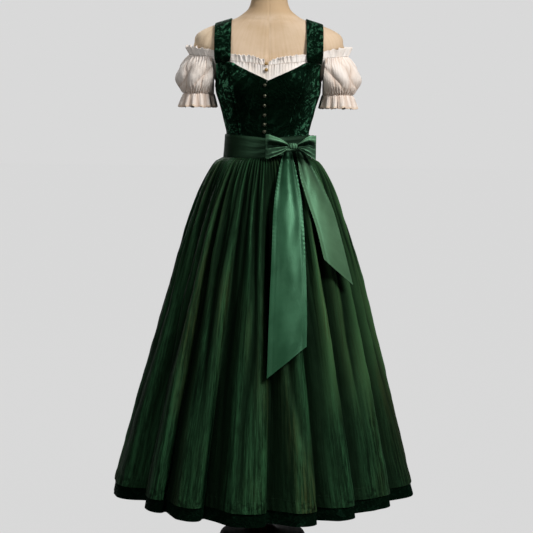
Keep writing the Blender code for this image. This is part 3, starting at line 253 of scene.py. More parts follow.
class Tree:
    """Small helper that adds nodes to a node tree and joins them."""

    def __init__(self, tree: NodeTree) -> None:
        """Keep the tree."""
        self.tree = tree

    def feed(self, node: Node, sockets: dict) -> None:
        """Give each named or numbered input of a node a constant or an output socket."""
        for name, value in sockets.items():
            if isinstance(value, Socket):
                self.tree.links.new(value, node.inputs[name])
            else:
                node.inputs[name].default_value = value

    def add(self, kind: str, sockets: dict | None = None, **settings: object) -> Node:
        """Add a node.

        Args:
            kind: the node's type name.
            sockets: input name or number to a constant or an output socket.
            settings: the node's own options.

        Returns:
            The new node.
        """
        node = self.tree.nodes.new(kind)
        for name, value in settings.items():
            setattr(node, name, value)
        self.feed(node, sockets or {})
        return node

    def first(self, kind: str, sockets: dict | None = None, **settings: object) -> Socket:
        """First output of a new node."""
        return self.add(kind, sockets, **settings).outputs[0]

    def math(self, operation: str, first: object, second: object = 0.0) -> Socket:
        """Result of a Math node."""
        return self.first("ShaderNodeMath", {0: first, 1: second}, operation=operation)

    def plus(self, first: object, second: object) -> Socket:
        """Sum of two values."""
        return self.math("ADD", first, second)

    def times(self, *factors: object) -> Socket:
        """Product of two or more values."""
        product = factors[0]
        for factor in factors[1:]:
            product = self.math("MULTIPLY", product, factor)
        return product

    def shares(self, first: object, share: float, second: object, rest: float) -> Socket:
        """Sum of two values, each by its own share."""
        return self.plus(self.times(first, share), self.times(second, rest))

    def most(self, first: object, second: object) -> Socket:
        """Larger of two values."""
        return self.math("MAXIMUM", first, second)

    def size(self, value: object) -> Socket:
        """A value without its sign."""
        return self.math("ABSOLUTE", value)

    def mix(self, factor: object, first: object, second: object) -> Socket:
        """Mix of two colours."""
        sockets = {"Factor": factor, 6: first, 7: second}
        return self.add("ShaderNodeMix", sockets, data_type="RGBA").outputs[2]

    def span(self, value: object, low: float, high: float, start: float = 0.0, end: float = 1.0) -> Socket:
        """Value moved from the span low to high onto start to end, held at its ends."""
        sockets = {0: value, 1: low, 2: high, 3: start, 4: end}
        return self.first("ShaderNodeMapRange", sockets, interpolation_type="SMOOTHSTEP")

    def scaled(self, vector: object, scale: Point) -> Socket:
        """Coordinates stretched along each axis."""
        return self.first("ShaderNodeMapping", {"Vector": vector, "Scale": scale})

    def noise(self, vector: object, scale: object, detail: float = 3.0, rough: float = 0.5) -> Socket:
        """Noise value, about 0.5 on average."""
        sockets = {"Vector": vector, "Scale": scale, "Detail": detail, "Roughness": rough}
        return self.first("ShaderNodeTexNoise", sockets)

    def drawn(self, vector: object, pull: float, *settings: float) -> Socket:
        """Noise whose second axis is stretched by a pull: below 1 it runs out into streaks."""
        return self.noise(self.scaled(vector, (1.0, pull, 1.0)), *settings)

    def parts(self, vector: object) -> Sequence[Socket]:
        """The three coordinates of a vector."""
        return self.add("ShaderNodeSeparateXYZ", {0: vector}).outputs

    def solid_place(self) -> Socket:
        """Coordinates on the figure in metres."""
        return self.add("ShaderNodeTexCoord").outputs["Object"]

    def cloth_place(self) -> Socket:
        """Coordinates on the flat cloth in metres."""
        return self.first("ShaderNodeUVMap", uv_map="cloth")

    def hollow(self) -> Socket:
        """Painted shade at each point of the cloth, from 0 to 1."""
        return self.add("ShaderNodeAttribute", attribute_name=SHADE_ATTRIBUTE).outputs["Fac"]

    def bump(self, height: Socket, depth: float, under: Socket | None = None) -> Socket:
        """Relief of a depth in metres, over another relief where one is given."""
        sockets = {"Height": height, "Distance": depth, "Strength": 1.0}
        if under is not None:
            sockets["Normal"] = under
        return self.first("ShaderNodeBump", sockets)


def colour(red: float, green: float, blue: float) -> Colour:
    """Opaque colour."""
    return (red, green, blue, 1.0)


def named_group(name: str, place: str, numbers: dict[str, float]) -> tuple[Tree, Sequence[Socket]]:
    """Start a shader node group.

    Args:
        name: the group's name.
        place: name of its first input, the coordinates.
        numbers: names of its other inputs, and the number in each.

    Returns:
        The tree helper and the group's inputs, seen from inside.
    """
    group = bpy.data.node_groups.new(name, "ShaderNodeTree")
    group.interface.new_socket(place, in_out="INPUT", socket_type="NodeSocketVector")
    for socket, number in numbers.items():
        made = group.interface.new_socket(socket, in_out="INPUT", socket_type="NodeSocketFloat")
        made.default_value = number
    tree = Tree(group)
    return tree, tree.add("NodeGroupInput").outputs


def finished_group(tree: Tree, outputs: dict[str, Socket]) -> NodeTree:
    """Give a shader node group its outputs."""
    for socket in outputs:
        tree.tree.interface.new_socket(socket, in_out="OUTPUT", socket_type="NodeSocketFloat")
    tree.add("NodeGroupOutput", outputs)
    return tree.tree


def weave_group() -> NodeTree:
    """Over-and-under threads on a cloth's own coordinates in metres."""
    tree, given = named_group("woven_threads", "Cloth", {"Across": 1000.0, "Down": 1000.0, "Slub": 0.3})
    wobble = tree.noise(given["Cloth"], 60.0, 2.0)
    parts = tree.parts(given["Cloth"])
    waves = []
    for axis, count in ((0, "Across"), (1, "Down")):
        turns = tree.times(parts[axis], given[count], math.tau)
        waves.append(tree.math("SINE", tree.plus(turns, tree.times(wobble, 3.0))))
    crossing = tree.times(*waves)
    streaks = tree.drawn(given["Cloth"], 14.0, 90.0, 2.0)
    uneven = tree.times(tree.math("SUBTRACT", streaks, 0.5), given["Slub"])
    height = tree.plus(tree.plus(tree.times(crossing, 0.5), uneven), 0.5)
    return finished_group(tree, {"Height": height, "Mask": tree.span(crossing, -0.6, 0.6)})


def crease_group() -> NodeTree:
    """Soft ridged creases on cloth coordinates."""
    tree, given = named_group("soft_creases", "Cloth", {"Density": 20.0, "Fine": 90.0})
    large = tree.noise(given["Cloth"], given["Density"], 4.0, 0.55)
    away = tree.size(tree.times(tree.math("SUBTRACT", large, 0.5), 5.0))
    ridge = tree.math("SUBTRACT", 1.0, away)
    height = tree.shares(ridge, 0.7, tree.noise(given["Cloth"], given["Fine"]), 0.3)
    return finished_group(tree, {"Height": height, "Mask": tree.span(large, 0.35, 0.65)})


def grain_group() -> NodeTree:
    """Fine dust and handling marks on a hard surface, on coordinates of the figure."""
    tree, given = named_group("handling_marks", "Place", {"Size": 60.0})
    clouds = tree.noise(given["Place"], given["Size"], 5.0, 0.6)
    specks = tree.noise(given["Place"], tree.times(given["Size"], 9.0), 2.0)
    return finished_group(tree, {"Mask": tree.span(clouds, 0.4, 0.7), "Speck": tree.span(specks, 0.6, 0.75)})


GROUPS = {"woven_threads": weave_group, "soft_creases": crease_group, "handling_marks": grain_group}


def effect(tree: Tree, name: str, **sockets: object) -> Sequence[Socket]:
    """Outputs of a shared group put into a tree with its own values; the group is built once."""
    group = bpy.data.node_groups.get(name) or GROUPS[name]()
    return tree.add("ShaderNodeGroup", sockets, node_tree=group).outputs


# ---------------------------------------------------------------- finishes


@dataclass(frozen=True)
class Finish:
    """A finish of the record: its name is its material slot."""

    slot: str
    variant: str = ""

    def material(self) -> Material:
        """The finish's material, made once."""
        name = f"{self.slot}{self.variant}_finish"
        known = bpy.data.materials.get(name)
        if known:
            return known
        made = bpy.data.materials.new(name)
        made.use_nodes = True
        tree = Tree(made.node_tree)
        tree.feed(made.node_tree.nodes["Principled BSDF"], self.dress(tree))
        return made

    def dress(self, tree: Tree) -> dict[str, object]:
        """What goes into the shader's inputs: colour, gloss and relief."""
        raise NotImplementedError


@dataclass(frozen=True)
class Velvet(Finish):
    """Crushed velvet: dark pile, brighter patches where it lies another way, and a painted sheen."""

    slot: str = "velvet"
    shade: Colour = colour(0.0004, 0.0026, 0.0011)
    # Colour of the crushed patches and of the painted sheen.
    light: Colour = colour(0.075, 0.260, 0.145)

    def dress(self, tree: Tree) -> dict[str, object]:
        """Patches of pile with a painted sheen, a fine nap, and a green sheen."""
        place = tree.solid_place()
        warp = tree.noise(place, 9.0, 2.0)
        shift = tree.first("ShaderNodeCombineXYZ", {0: tree.times(warp, 0.08), 2: tree.times(warp, 0.11)})
        bent = tree.first("ShaderNodeVectorMath", {0: place, 1: shift}, operation="ADD")
        patches = tree.noise(bent, 80.0, 5.0, 0.65)
        crushed = tree.shares(patches, 0.65, tree.drawn(bent, 0.4, 200.0, 3.0, 0.6), 0.35)
        where = tree.span(tree.noise(place, 13.0, 2.0), 0.40, 0.58, 0.35, 1.0)
        mask = tree.times(tree.span(crushed, 0.48, 0.62), where)
        catching = self.catching_light(tree, mask)
        return {
            "Base Color": tree.mix(catching, self.shade, self.light),
            "Normal": tree.bump(tree.noise(place, 900.0, 2.0), 0.0004, tree.bump(crushed, 0.012)),
            "Roughness": tree.span(mask, 0.0, 1.0, 0.8, 0.5),
            "Specular IOR Level": 0.05, "Specular Tint": colour(0.22, 0.80, 0.45),
            "Sheen Weight": 0.02, "Sheen Roughness": 0.35, "Sheen Tint": colour(0.10, 0.45, 0.22),
        }

    def catching_light(self, tree: Tree, mask: Socket) -> Socket:
        """Painted sheen: where the pile is painted bright on the bodice, where it faces up or sideways.

        Args:
            tree: the material's tree.
            mask: patches of crushed pile.

        Returns:
            How bright the pile is painted, from 0 to 1.
        """
        sideways, _, height = tree.parts(tree.solid_place())
        slope = tree.parts(tree.add("ShaderNodeNewGeometry").outputs["Normal"])
        off_centre = tree.span(tree.size(sideways), 0.040, 0.085)
        facing_up = tree.times(tree.span(slope[2], 0.02, 0.16), off_centre)
        facing_aside = tree.span(tree.size(slope[0]), 0.48, 0.78, 0.0, 0.85)
        above_waist = tree.span(height, 1.10, 1.16)
        on_straps = tree.span(height, 1.33, 1.38, 1.0, 0.42)
        # Painted sheen where the pile faces up or sideways, less on the right and low on the left.
        sheen_painted = tree.times(tree.most(facing_up, facing_aside), above_waist, on_straps)
        patched = tree.times(sheen_painted, tree.span(mask, 0.03, 0.66, 0.03, 1.0))
        less_right = tree.span(sideways, -0.04, 0.04, 1.0, 0.72)
        less_low_left = tree.most(tree.span(height, 1.15, 1.28, 0.45, 1.0), tree.span(sideways, -0.04, 0.04))
        return tree.times(tree.most(patched, tree.times(mask, 0.05)), less_right, less_low_left)


@dataclass(frozen=True)
class Taffeta(Finish):
    """Shot taffeta: long uneven threads of green and brown down the cloth."""

    slot: str = "taffeta"
    # Colour of the painted shade.
    black: Colour = colour(0.0001, 0.0003, 0.0002)
    dark: Colour = colour(0.0016, 0.0070, 0.0028)
    green: Colour = colour(0.0240, 0.0860, 0.0360)
    brown: Colour = colour(0.0350, 0.0420, 0.0140)
    lit_green: Colour = colour(0.0620, 0.1560, 0.0600)

    def dress(self, tree: Tree) -> dict[str, object]:
        """Streaks in three widths, brown drifts, painted light and shade, and a thread relief."""
        place = tree.cloth_place()
        middle = tree.drawn(place, 0.03, 190.0, 3.0, 0.6)
        wide = tree.shares(tree.drawn(place, 0.04, 60.0, 3.0, 0.55), 0.45, middle, 0.55)
        streak = tree.shares(wide, 0.72, tree.drawn(place, 0.05, 620.0, 2.0, 0.6), 0.28)
        body = tree.mix(tree.span(streak, 0.43, 0.62), self.dark, self.green)
        drift = tree.span(tree.drawn(place, 0.25, 6.0, 2.0), 0.46, 0.66, 0.0, 0.75)
        rusty = tree.times(drift, tree.span(middle, 0.42, 0.60, 0.15, 1.0))
        # Painted light: the cloth is painted a lit green on the right side, above the lower skirt.
        sideways, _, height = tree.parts(tree.solid_place())
        facing = tree.times(tree.span(sideways, 0.10, 0.18, 0.0, 0.8), tree.span(height, 0.38, 0.62))
        warm = tree.mix(rusty, tree.mix(facing, body, self.lit_green), self.brown)
        # Painted shade: the colour goes to the darkest tone in the hollows, and in creases near the hem.
        by_hem = tree.span(tree.parts(place)[1], 0.012, 0.085, 1.0, 0.0)
        creased = tree.times(tree.drawn(place, 0.55, 120.0, 3.0, 0.6), by_hem)
        hollow = tree.hollow()
        shade_mix = tree.most(hollow, tree.span(creased, 0.44, 0.60, 0.0, 0.75))
        ripple = tree.drawn(place, 0.22, 120.0, 4.0, 0.6)
        threads = effect(tree, "woven_threads", Cloth=place, Across=900.0, Down=420.0, Slub=2.4)
        crinkled = tree.bump(tree.plus(ripple, tree.times(creased, -2.0)), 0.0010, tree.bump(wide, 0.0030))
        return {
            "Base Color": tree.mix(shade_mix, warm, self.black),
            "Roughness": tree.plus(tree.span(ripple, 0.3, 0.7, 0.28, 0.40), tree.times(hollow, 0.45)),
            "Normal": tree.bump(threads["Height"], 0.00012, crinkled),
            "Specular IOR Level": 0.22, "Specular Tint": colour(0.33, 0.9, 0.42),
        }


@dataclass(frozen=True)
class Satin(Finish):
    """Smooth green satin with soft broad highlights."""

    slot: str = "satin"
    # Colour of the painted shade.
    black: Colour = colour(0.0004, 0.0016, 0.0008)
    deep: Colour = colour(0.009, 0.040, 0.018)
    bright: Colour = colour(0.017, 0.064, 0.031)
    gloss: float = 0.36
    level: float = 0.42
    tint: Colour = colour(0.40, 1.0, 0.60)

    def dress(self, tree: Tree) -> dict[str, object]:
        """Gentle drift of colour, painted shade, slight creases and a fine weft."""
        place = tree.cloth_place()
        creases = effect(tree, "soft_creases", Cloth=place, Density=9.0, Fine=30.0)
        threads = effect(tree, "woven_threads", Cloth=place, Across=1500.0, Down=700.0, Slub=0.8)
        hollow = tree.hollow()
        gloss = tree.span(creases["Mask"], 0.0, 1.0, self.gloss, self.gloss + 0.06)
        return {
            # Painted shade: the colour goes to the darkest tone where the cloth is closed in.
            "Base Color": tree.mix(hollow, tree.mix(creases["Mask"], self.deep, self.bright), self.black),
            "Normal": tree.bump(threads["Height"], 0.00004, tree.bump(creases["Height"], 0.0004)),
            "Roughness": tree.plus(gloss, tree.times(hollow, 0.3)),
            "Specular IOR Level": self.level, "Specular Tint": self.tint,
        }


@dataclass(frozen=True)
class Cotton(Finish):
    """Soft crinkled off-white cotton."""

    slot: str = "cotton"
    lit: Colour = colour(0.855, 0.806, 0.768)
    warm: Colour = colour(0.76, 0.655, 0.57)
    # Warm colour of the painted shade in the hollows.
    deep: Colour = colour(0.56, 0.44, 0.36)

    def dress(self, tree: Tree) -> dict[str, object]:
        """Slightly warmer drifts, a warm painted shade, a crinkle and a plain weave."""
        place = tree.cloth_place()
        creases = effect(tree, "soft_creases", Cloth=place, Density=24.0, Fine=130.0)
        threads = effect(tree, "woven_threads", Cloth=place, Across=1100.0, Down=1100.0, Slub=0.5)
        drifts = tree.mix(tree.times(creases["Mask"], 0.5), self.lit, self.warm)
        return {
            # Painted shade: warm beige where the cloth is closed in.
            "Base Color": tree.mix(tree.hollow(), drifts, self.deep),
            "Normal": tree.bump(threads["Height"], 0.00015, tree.bump(creases["Height"], 0.0007)),
            "Roughness": 0.9, "Specular IOR Level": 0.2, "Sheen Weight": 0.15,
        }


@dataclass(frozen=True)
class Lace(Cotton):
    """Tan picot edge of the sleeve ruffles."""

    variant: str = "_picot"
    lit: Colour = colour(0.80, 0.66, 0.52)
    warm: Colour = colour(0.66, 0.51, 0.38)


@dataclass(frozen=True)
class Linen(Finish):
    """Natural linen stretched over the form."""

    slot: str = "linen"
    pale: Colour = colour(0.630, 0.490, 0.358)
    tan: Colour = colour(0.49, 0.345, 0.208)
    # Paler colour painted on the left shoulder as painted light.
    lit_pale: Colour = colour(0.97, 0.80, 0.60)

    def dress(self, tree: Tree) -> dict[str, object]:
        """Slubby plain weave with soft stains, streaked below the shoulders and tan round the neck."""
        place = tree.cloth_place()
        sideways, _, height = tree.parts(tree.solid_place())
        threads = effect(tree, "woven_threads", Cloth=place, Across=560.0, Down=560.0, Slub=1.4)
        stains = tree.span(tree.noise(place, 14.0, 4.0), 0.3, 0.7, 0.15, 0.75)
        stains = tree.times(stains, tree.span(threads["Height"], 0.0, 1.0, 1.0, 0.8))
        streaks = tree.span(tree.drawn(place, 0.03, 210.0, 2.0), 0.45, 0.65, 0.0, 0.30)
        streaks = tree.times(streaks, tree.span(height, 1.37, 1.42, 1.0, 0.4))
        mask = tree.most(tree.plus(stains, streaks), tree.span(height, 1.470, 1.500))
        # Painted light: the far left of the form, the left shoulder, is painted paler.
        pale = tree.mix(tree.span(sideways, -0.165, -0.140, 1.0, 0.0), self.pale, self.lit_pale)
        return {
            "Base Color": tree.mix(mask, pale, self.tan),
            "Normal": tree.bump(threads["Height"], 0.00025),
            "Roughness": 0.9, "Specular IOR Level": 0.2,
        }


@dataclass(frozen=True)
class Wood(Finish):
    """Dark varnished turned wood."""

    slot: str = "wood"
    dark: Colour = colour(0.010, 0.004, 0.003)
    red: Colour = colour(0.110, 0.030, 0.014)

    def dress(self, tree: Tree) -> dict[str, object]:
        """Growth rings, pores and a worn varnish."""
        place = tree.solid_place()
        bent = tree.noise(tree.scaled(place, (1.0, 1.0, 6.0)), 14.0, 4.0)
        drawn_out = tree.scaled(place, (1.0, 0.12, 1.0))
        waves = {"Vector": drawn_out, "Scale": 22.0, "Distortion": 5.0, "Detail": 3.0}
        rings = tree.add("ShaderNodeTexWave", waves).outputs["Fac"]
        marks = effect(tree, "handling_marks", Place=place, Size=45.0)
        grain = tree.times(rings, tree.span(bent, 0.3, 0.7, 0.4, 1.0))
        return {
            "Base Color": tree.mix(grain, self.dark, self.red),
            "Roughness": tree.span(marks["Mask"], 0.0, 1.0, 0.28, 0.45),
            "Normal": tree.bump(grain, 0.0004),
            "Coat Weight": 0.35, "Coat Roughness": 0.15,
        }


@dataclass(frozen=True)
class Metal(Finish):
    """Cast metal of the buttons, tarnished in clouds and specks."""

    slot: str = "aged_metal"
    bright: Colour = colour(0.15, 0.15, 0.105)
    dull: Colour = colour(0.022, 0.026, 0.018)
    gloss: float = 0.34

    def dress(self, tree: Tree) -> dict[str, object]:
        """Tarnish in clouds and specks."""
        marks = effect(tree, "handling_marks", Place=tree.solid_place(), Size=260.0)
        tarnish = tree.most(marks["Mask"], marks["Speck"])
        return {
            "Base Color": tree.mix(tarnish, self.bright, self.dull),
            "Roughness": tree.span(tarnish, 0.0, 1.0, self.gloss, self.gloss + 0.25),
            "Normal": tree.bump(tarnish, 0.0002),
            "Metallic": 0.92,
        }


@dataclass(frozen=True)
class Thread(Finish):
    """Sewing thread or cord, a little paler where it is worn."""

    fresh: Colour = colour(0.02, 0.07, 0.03)
    worn: Colour = colour(0.05, 0.13, 0.06)

    def dress(self, tree: Tree) -> dict[str, object]:
        """Two shades and a fine twist."""
        place = tree.solid_place()
        marks = effect(tree, "handling_marks", Place=place, Size=700.0)
        return {
            "Base Color": tree.mix(marks["Mask"], self.fresh, self.worn),
            "Normal": tree.bump(tree.noise(place, 2600.0, 2.0), 0.0001),
            "Roughness": 0.55, "Specular IOR Level": 0.3,
        }


class Held(Enum):
    """Ways in which a sheet of cloth is held."""

    STRETCHED = "stretched"
    GATHERED = "gathered"
    FOLDED = "folded"
    HUNG = "hung"


class Cloth(Enum):
    """Finishes of the dress and of its form."""

    VELVET = Velvet()
    TAFFETA = Taffeta()
    SATIN = Satin()
    # Darker copy of the satin: painted shade for the upright sash.
    SASH = Satin(
        variant="_shaded_copy", deep=colour(0.0034, 0.0092, 0.0040), bright=colour(0.0068, 0.0182, 0.0088),
        gloss=0.46, tint=colour(0.44, 1.0, 0.60))
    # Much paler copy of the satin: painted light for the bow, whose wells are painted dark by the shade
    # attribute.
    BOW = Satin(
        variant="_folded", deep=colour(0.150, 0.350, 0.200), bright=colour(0.220, 0.470, 0.280),
        gloss=0.27, level=0.44)
    TAIL = Satin(variant="_sunlit", deep=colour(0.052, 0.112, 0.060), bright=colour(0.074, 0.154, 0.086))
    COTTON = Cotton()
    LINEN = Linen()
    WOOD = Wood()
    AGED_METAL = Metal()
    BRASS = Metal(slot="brass", bright=colour(0.62, 0.42, 0.17), dull=colour(0.20, 0.12, 0.05), gloss=0.28)


# ---------------------------------------------------------------- grids and meshes


def unit(vectors: Array) -> Array:
    """Vectors of length 1 in the same directions."""
    return vectors / np.maximum(np.linalg.norm(vectors, axis=-1, keepdims=True), 1e-12)


def grid_normals(grid: Array, closed: bool) -> Array:
    """Outward unit normals at the points of a grid."""
    following = np.roll(grid, -1, axis=1) if closed else grid[:, 1:]
    current = grid if closed else grid[:, :-1]
    faces = unit(np.cross(following[1:] - current[:-1], current[1:] - following[:-1]))
    rows = len(grid)
    total = np.zeros_like(grid)
    for row in (0, 1):
        if closed:
            total[row : rows - 1 + row] += faces + np.roll(faces, 1, axis=1)
        else:
            total[row : rows - 1 + row, :-1] += faces
            total[row : rows - 1 + row, 1:] += faces
    return unit(total)


def moved_out(grid: Array, distance: Array | float, closed: bool) -> Array:
    """The grid moved along its own normals."""
    away = np.asarray(distance, float)
    return grid + grid_normals(grid, closed) * (away[..., None] if away.ndim else away)


def mirrored(grid: Array) -> Array:
    """The grid on the other side of the figure, its columns still running the same way round."""
    return grid[:, ::-1] * np.array((-1.0, 1.0, 1.0))


def hands(name: str, outer: Array, inner: Array) -> list[tuple[str, Array, Array]]:
    """Name and faces of a right piece, and those of its mirror image on the left."""
    return [(f"{name}_right", outer, inner), (f"{name}_left", mirrored(outer), mirrored(inner))]


def quads(rows: Array | int, columns: Array | int, layers: Sequence[int]) -> Array:
    """Four corners for each quad, each a row, a column and a layer."""
    return np.stack(np.broadcast_arrays(rows, columns, np.asarray(layers)), axis=-1)


def cells(rows: int, columns: int) -> tuple[Array, Array]:
    """Row and column of each cell of a grid, as two columns of numbers."""
    row, column = np.meshgrid(np.arange(rows), np.arange(columns), indexing="ij")
    return row.reshape(-1, 1), column.reshape(-1, 1)


@dataclass
class Piece:
    """A finished piece of the model and the solid that it stands for."""

    obj: Object
    node: str

    def settle(self, finish: Finish) -> "Piece":
        """Fix the piece to the figure in place of its solid."""
        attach(self.obj, BODY)
        if self.node:
            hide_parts(self.node)
        faces = len(self.obj.data.polygons)
        LOG.info("%s: %d faces, %s", self.obj.name, faces, finish.slot)
        return self

    def cut(
        self, flat: Pair, held: Held, rests_on: Sequence[str],
        area: float | None = None, sewn_on: Sequence["Piece"] = (),
    ) -> "Piece":
        """Return the piece as it is; the flat cloth that it was cut from is not kept.

        Args:
            flat: width and length of the cut, in metres; not used.
            held: how the cloth is held; not used.
            rests_on: the solids that it lies on or hangs from; not used.
            area: flat area, where the cut isn't a rectangle; not used.
            sewn_on: separate pieces that are sewn to it, such as its stitches; not used.

        Returns:
            The piece.
        """
        return self


def linked(name: str, data: bpy.types.ID) -> Object:
    """New object in the scene."""
    made = bpy.data.objects.new(name, data)
    bpy.context.scene.collection.objects.link(made)
    return made


def mesh_object(
    name: str, points: Array, faces: list, uvs: Array,
    materials: Sequence[Material], slots: Array | None = None,
) -> Object:
    """Make a smooth object with cloth coordinates.

    Args:
        name: the object's name.
        points: its points.
        faces: corners of each face.
        uvs: cloth coordinates for each corner of each face.
        materials: one or more materials.
        slots: number of the material for each face.

    Returns:
        The object, linked to the scene.
    """
    mesh = bpy.data.meshes.new(name)
    mesh.from_pydata(np.asarray(points).tolist(), [], faces)
    layer = mesh.uv_layers.new(name="cloth")
    layer.data.foreach_set("uv", np.asarray(uvs, np.float32).ravel())
    for material in materials:
        mesh.materials.append(material)
    if slots is not None:
        mesh.polygons.foreach_set("material_index", np.asarray(slots, np.int32))
    work = bmesh.new()
    work.from_mesh(mesh)
    bmesh.ops.recalc_face_normals(work, faces=work.faces)
    work.to_mesh(mesh)
    work.free()
    mesh.shade_smooth()
    mesh.set_sharp_from_angle(angle=math.radians(62.0))
    return linked(name, mesh)


def lengths_along(grid: Array, closed: bool) -> tuple[Array, Array]:
    """Mean distance from the first column to each column, and from the first row to each row."""
    ring = np.concatenate([grid, grid[:, :1]], axis=1) if closed else grid
    across = np.linalg.norm(np.diff(ring, axis=1), axis=2).mean(axis=0)
    along = np.linalg.norm(np.diff(grid, axis=0), axis=2).mean(axis=1)
    return np.concatenate([[0.0], np.cumsum(across)]), np.concatenate([[0.0], np.cumsum(along)])


def wall_object(
    name: str, outer: Array, inner: Array, closed: bool,
    materials: Sequence[Material], trim_rows: int = 0,
) -> Object:
    """Closed thin wall between two grids of the same size.

    Args:
        name: the object's name.
        outer: outer face, rows upward.
        inner: inner face.
        closed: whether the columns go all the way round.
        materials: the cloth's material, and its trim's where it has one.
        trim_rows: how many rows at the bottom take the second material.

    Returns:
        The object.
    """
    rows, columns = outer.shape[:2]
    spans = columns if closed else columns - 1
    row, column = cells(rows - 1, spans)
    span = np.arange(spans).reshape(-1, 1)
    corners = [
        quads(row + [0, 0, 1, 1], column + [0, 1, 1, 0], [0, 0, 0, 0]),
        quads(row + [1, 1, 0, 0], column + [0, 1, 1, 0], [1, 1, 1, 1]),
        quads(0, span + [0, 1, 1, 0], [1, 1, 0, 0]),
        quads(rows - 1, span + [0, 1, 1, 0], [0, 0, 1, 1]),
    ]
    if not closed:
        level = np.arange(rows - 1).reshape(-1, 1)
        corners.append(quads(level + [0, 0, 1, 1], 0, [1, 0, 0, 1]))
        corners.append(quads(level + [0, 0, 1, 1], columns - 1, [0, 1, 1, 0]))
    every = np.concatenate(corners)
    faces = every[..., 2] * rows * columns + every[..., 0] * columns + every[..., 1] % columns
    across, along = lengths_along(outer, closed)
    uvs = np.stack([across[every[..., 1]], along[every[..., 0]]], axis=-1)
    slots = (every[..., 0].max(axis=1) <= trim_rows).astype(np.int32) if trim_rows else None
    points = np.concatenate([outer.reshape(-1, 3), inner.reshape(-1, 3)])
    return mesh_object(name, points, faces.tolist(), uvs, materials, slots)


def turned_object(name: str, rings: Array, material: Material) -> Object:
    """Solid through closed rings from the bottom up, flat at both ends."""
    rows, columns = rings.shape[:2]
    row, column = cells(rows - 1, columns)
    sides = quads(row + [0, 0, 1, 1], column + [0, 1, 1, 0], [0, 0, 0, 0])
    faces = (sides[..., 0] * columns + sides[..., 1] % columns).tolist()
    faces += [list(range(columns))[::-1], [(rows - 1) * columns + place for place in range(columns)]]
    across, along = lengths_along(rings, True)
    uvs = np.stack([across[sides[..., 1]], along[sides[..., 0]]], axis=-1).reshape(-1, 2)
    ends = np.concatenate([rings[0, ::-1, :2], rings[-1, :, :2]])
    return mesh_object(name, rings.reshape(-1, 3), faces, np.concatenate([uvs, ends]), [material])


def turned(name: str, rings: Array, finish: Cloth) -> Piece:
    """Make a hard or stuffed piece in place of the solid that its name begins with."""
    made = turned_object(name, rings, finish.value.material())
    return Piece(made, name.rsplit("_", 1)[0]).settle(finish.value)


def sewn(
    node: str, outer: Array, inner: Array, cloth: Cloth, closed: bool = False,
    trim: Finish | None = None, trim_rows: int = 0, shaded: Array | None = None,
) -> Piece:
    """Make a piece of cloth in place of its solid.

    Args:
        node: the solid's name.
        outer: outer face, rows upward.
        inner: inner face.
        cloth: the cloth it is cut from.
        closed: whether the columns go all the way round.
        trim: finish of its lower edge, where that differs.
        trim_rows: rows that the trim covers.
        shaded: painted shade of each place of the outer face, from 0 to 1.

    Returns:
        The piece.
    """
    materials = [cloth.value.material()] + ([trim.material()] if trim else [])
    made = wall_object(f"{node}_cloth", outer, inner, closed, materials, trim_rows)
    if shaded is not None:
        # Painted shade on the points; the inner face is painted fully shaded.
        layer = made.data.attributes.new(SHADE_ATTRIBUTE, "FLOAT", "POINT")
        inside = np.ones(inner.size // 3)
        layer.data.foreach_set("value", np.concatenate([shaded.ravel(), inside]).astype(np.float32))
    return Piece(made, node).settle(cloth.value)


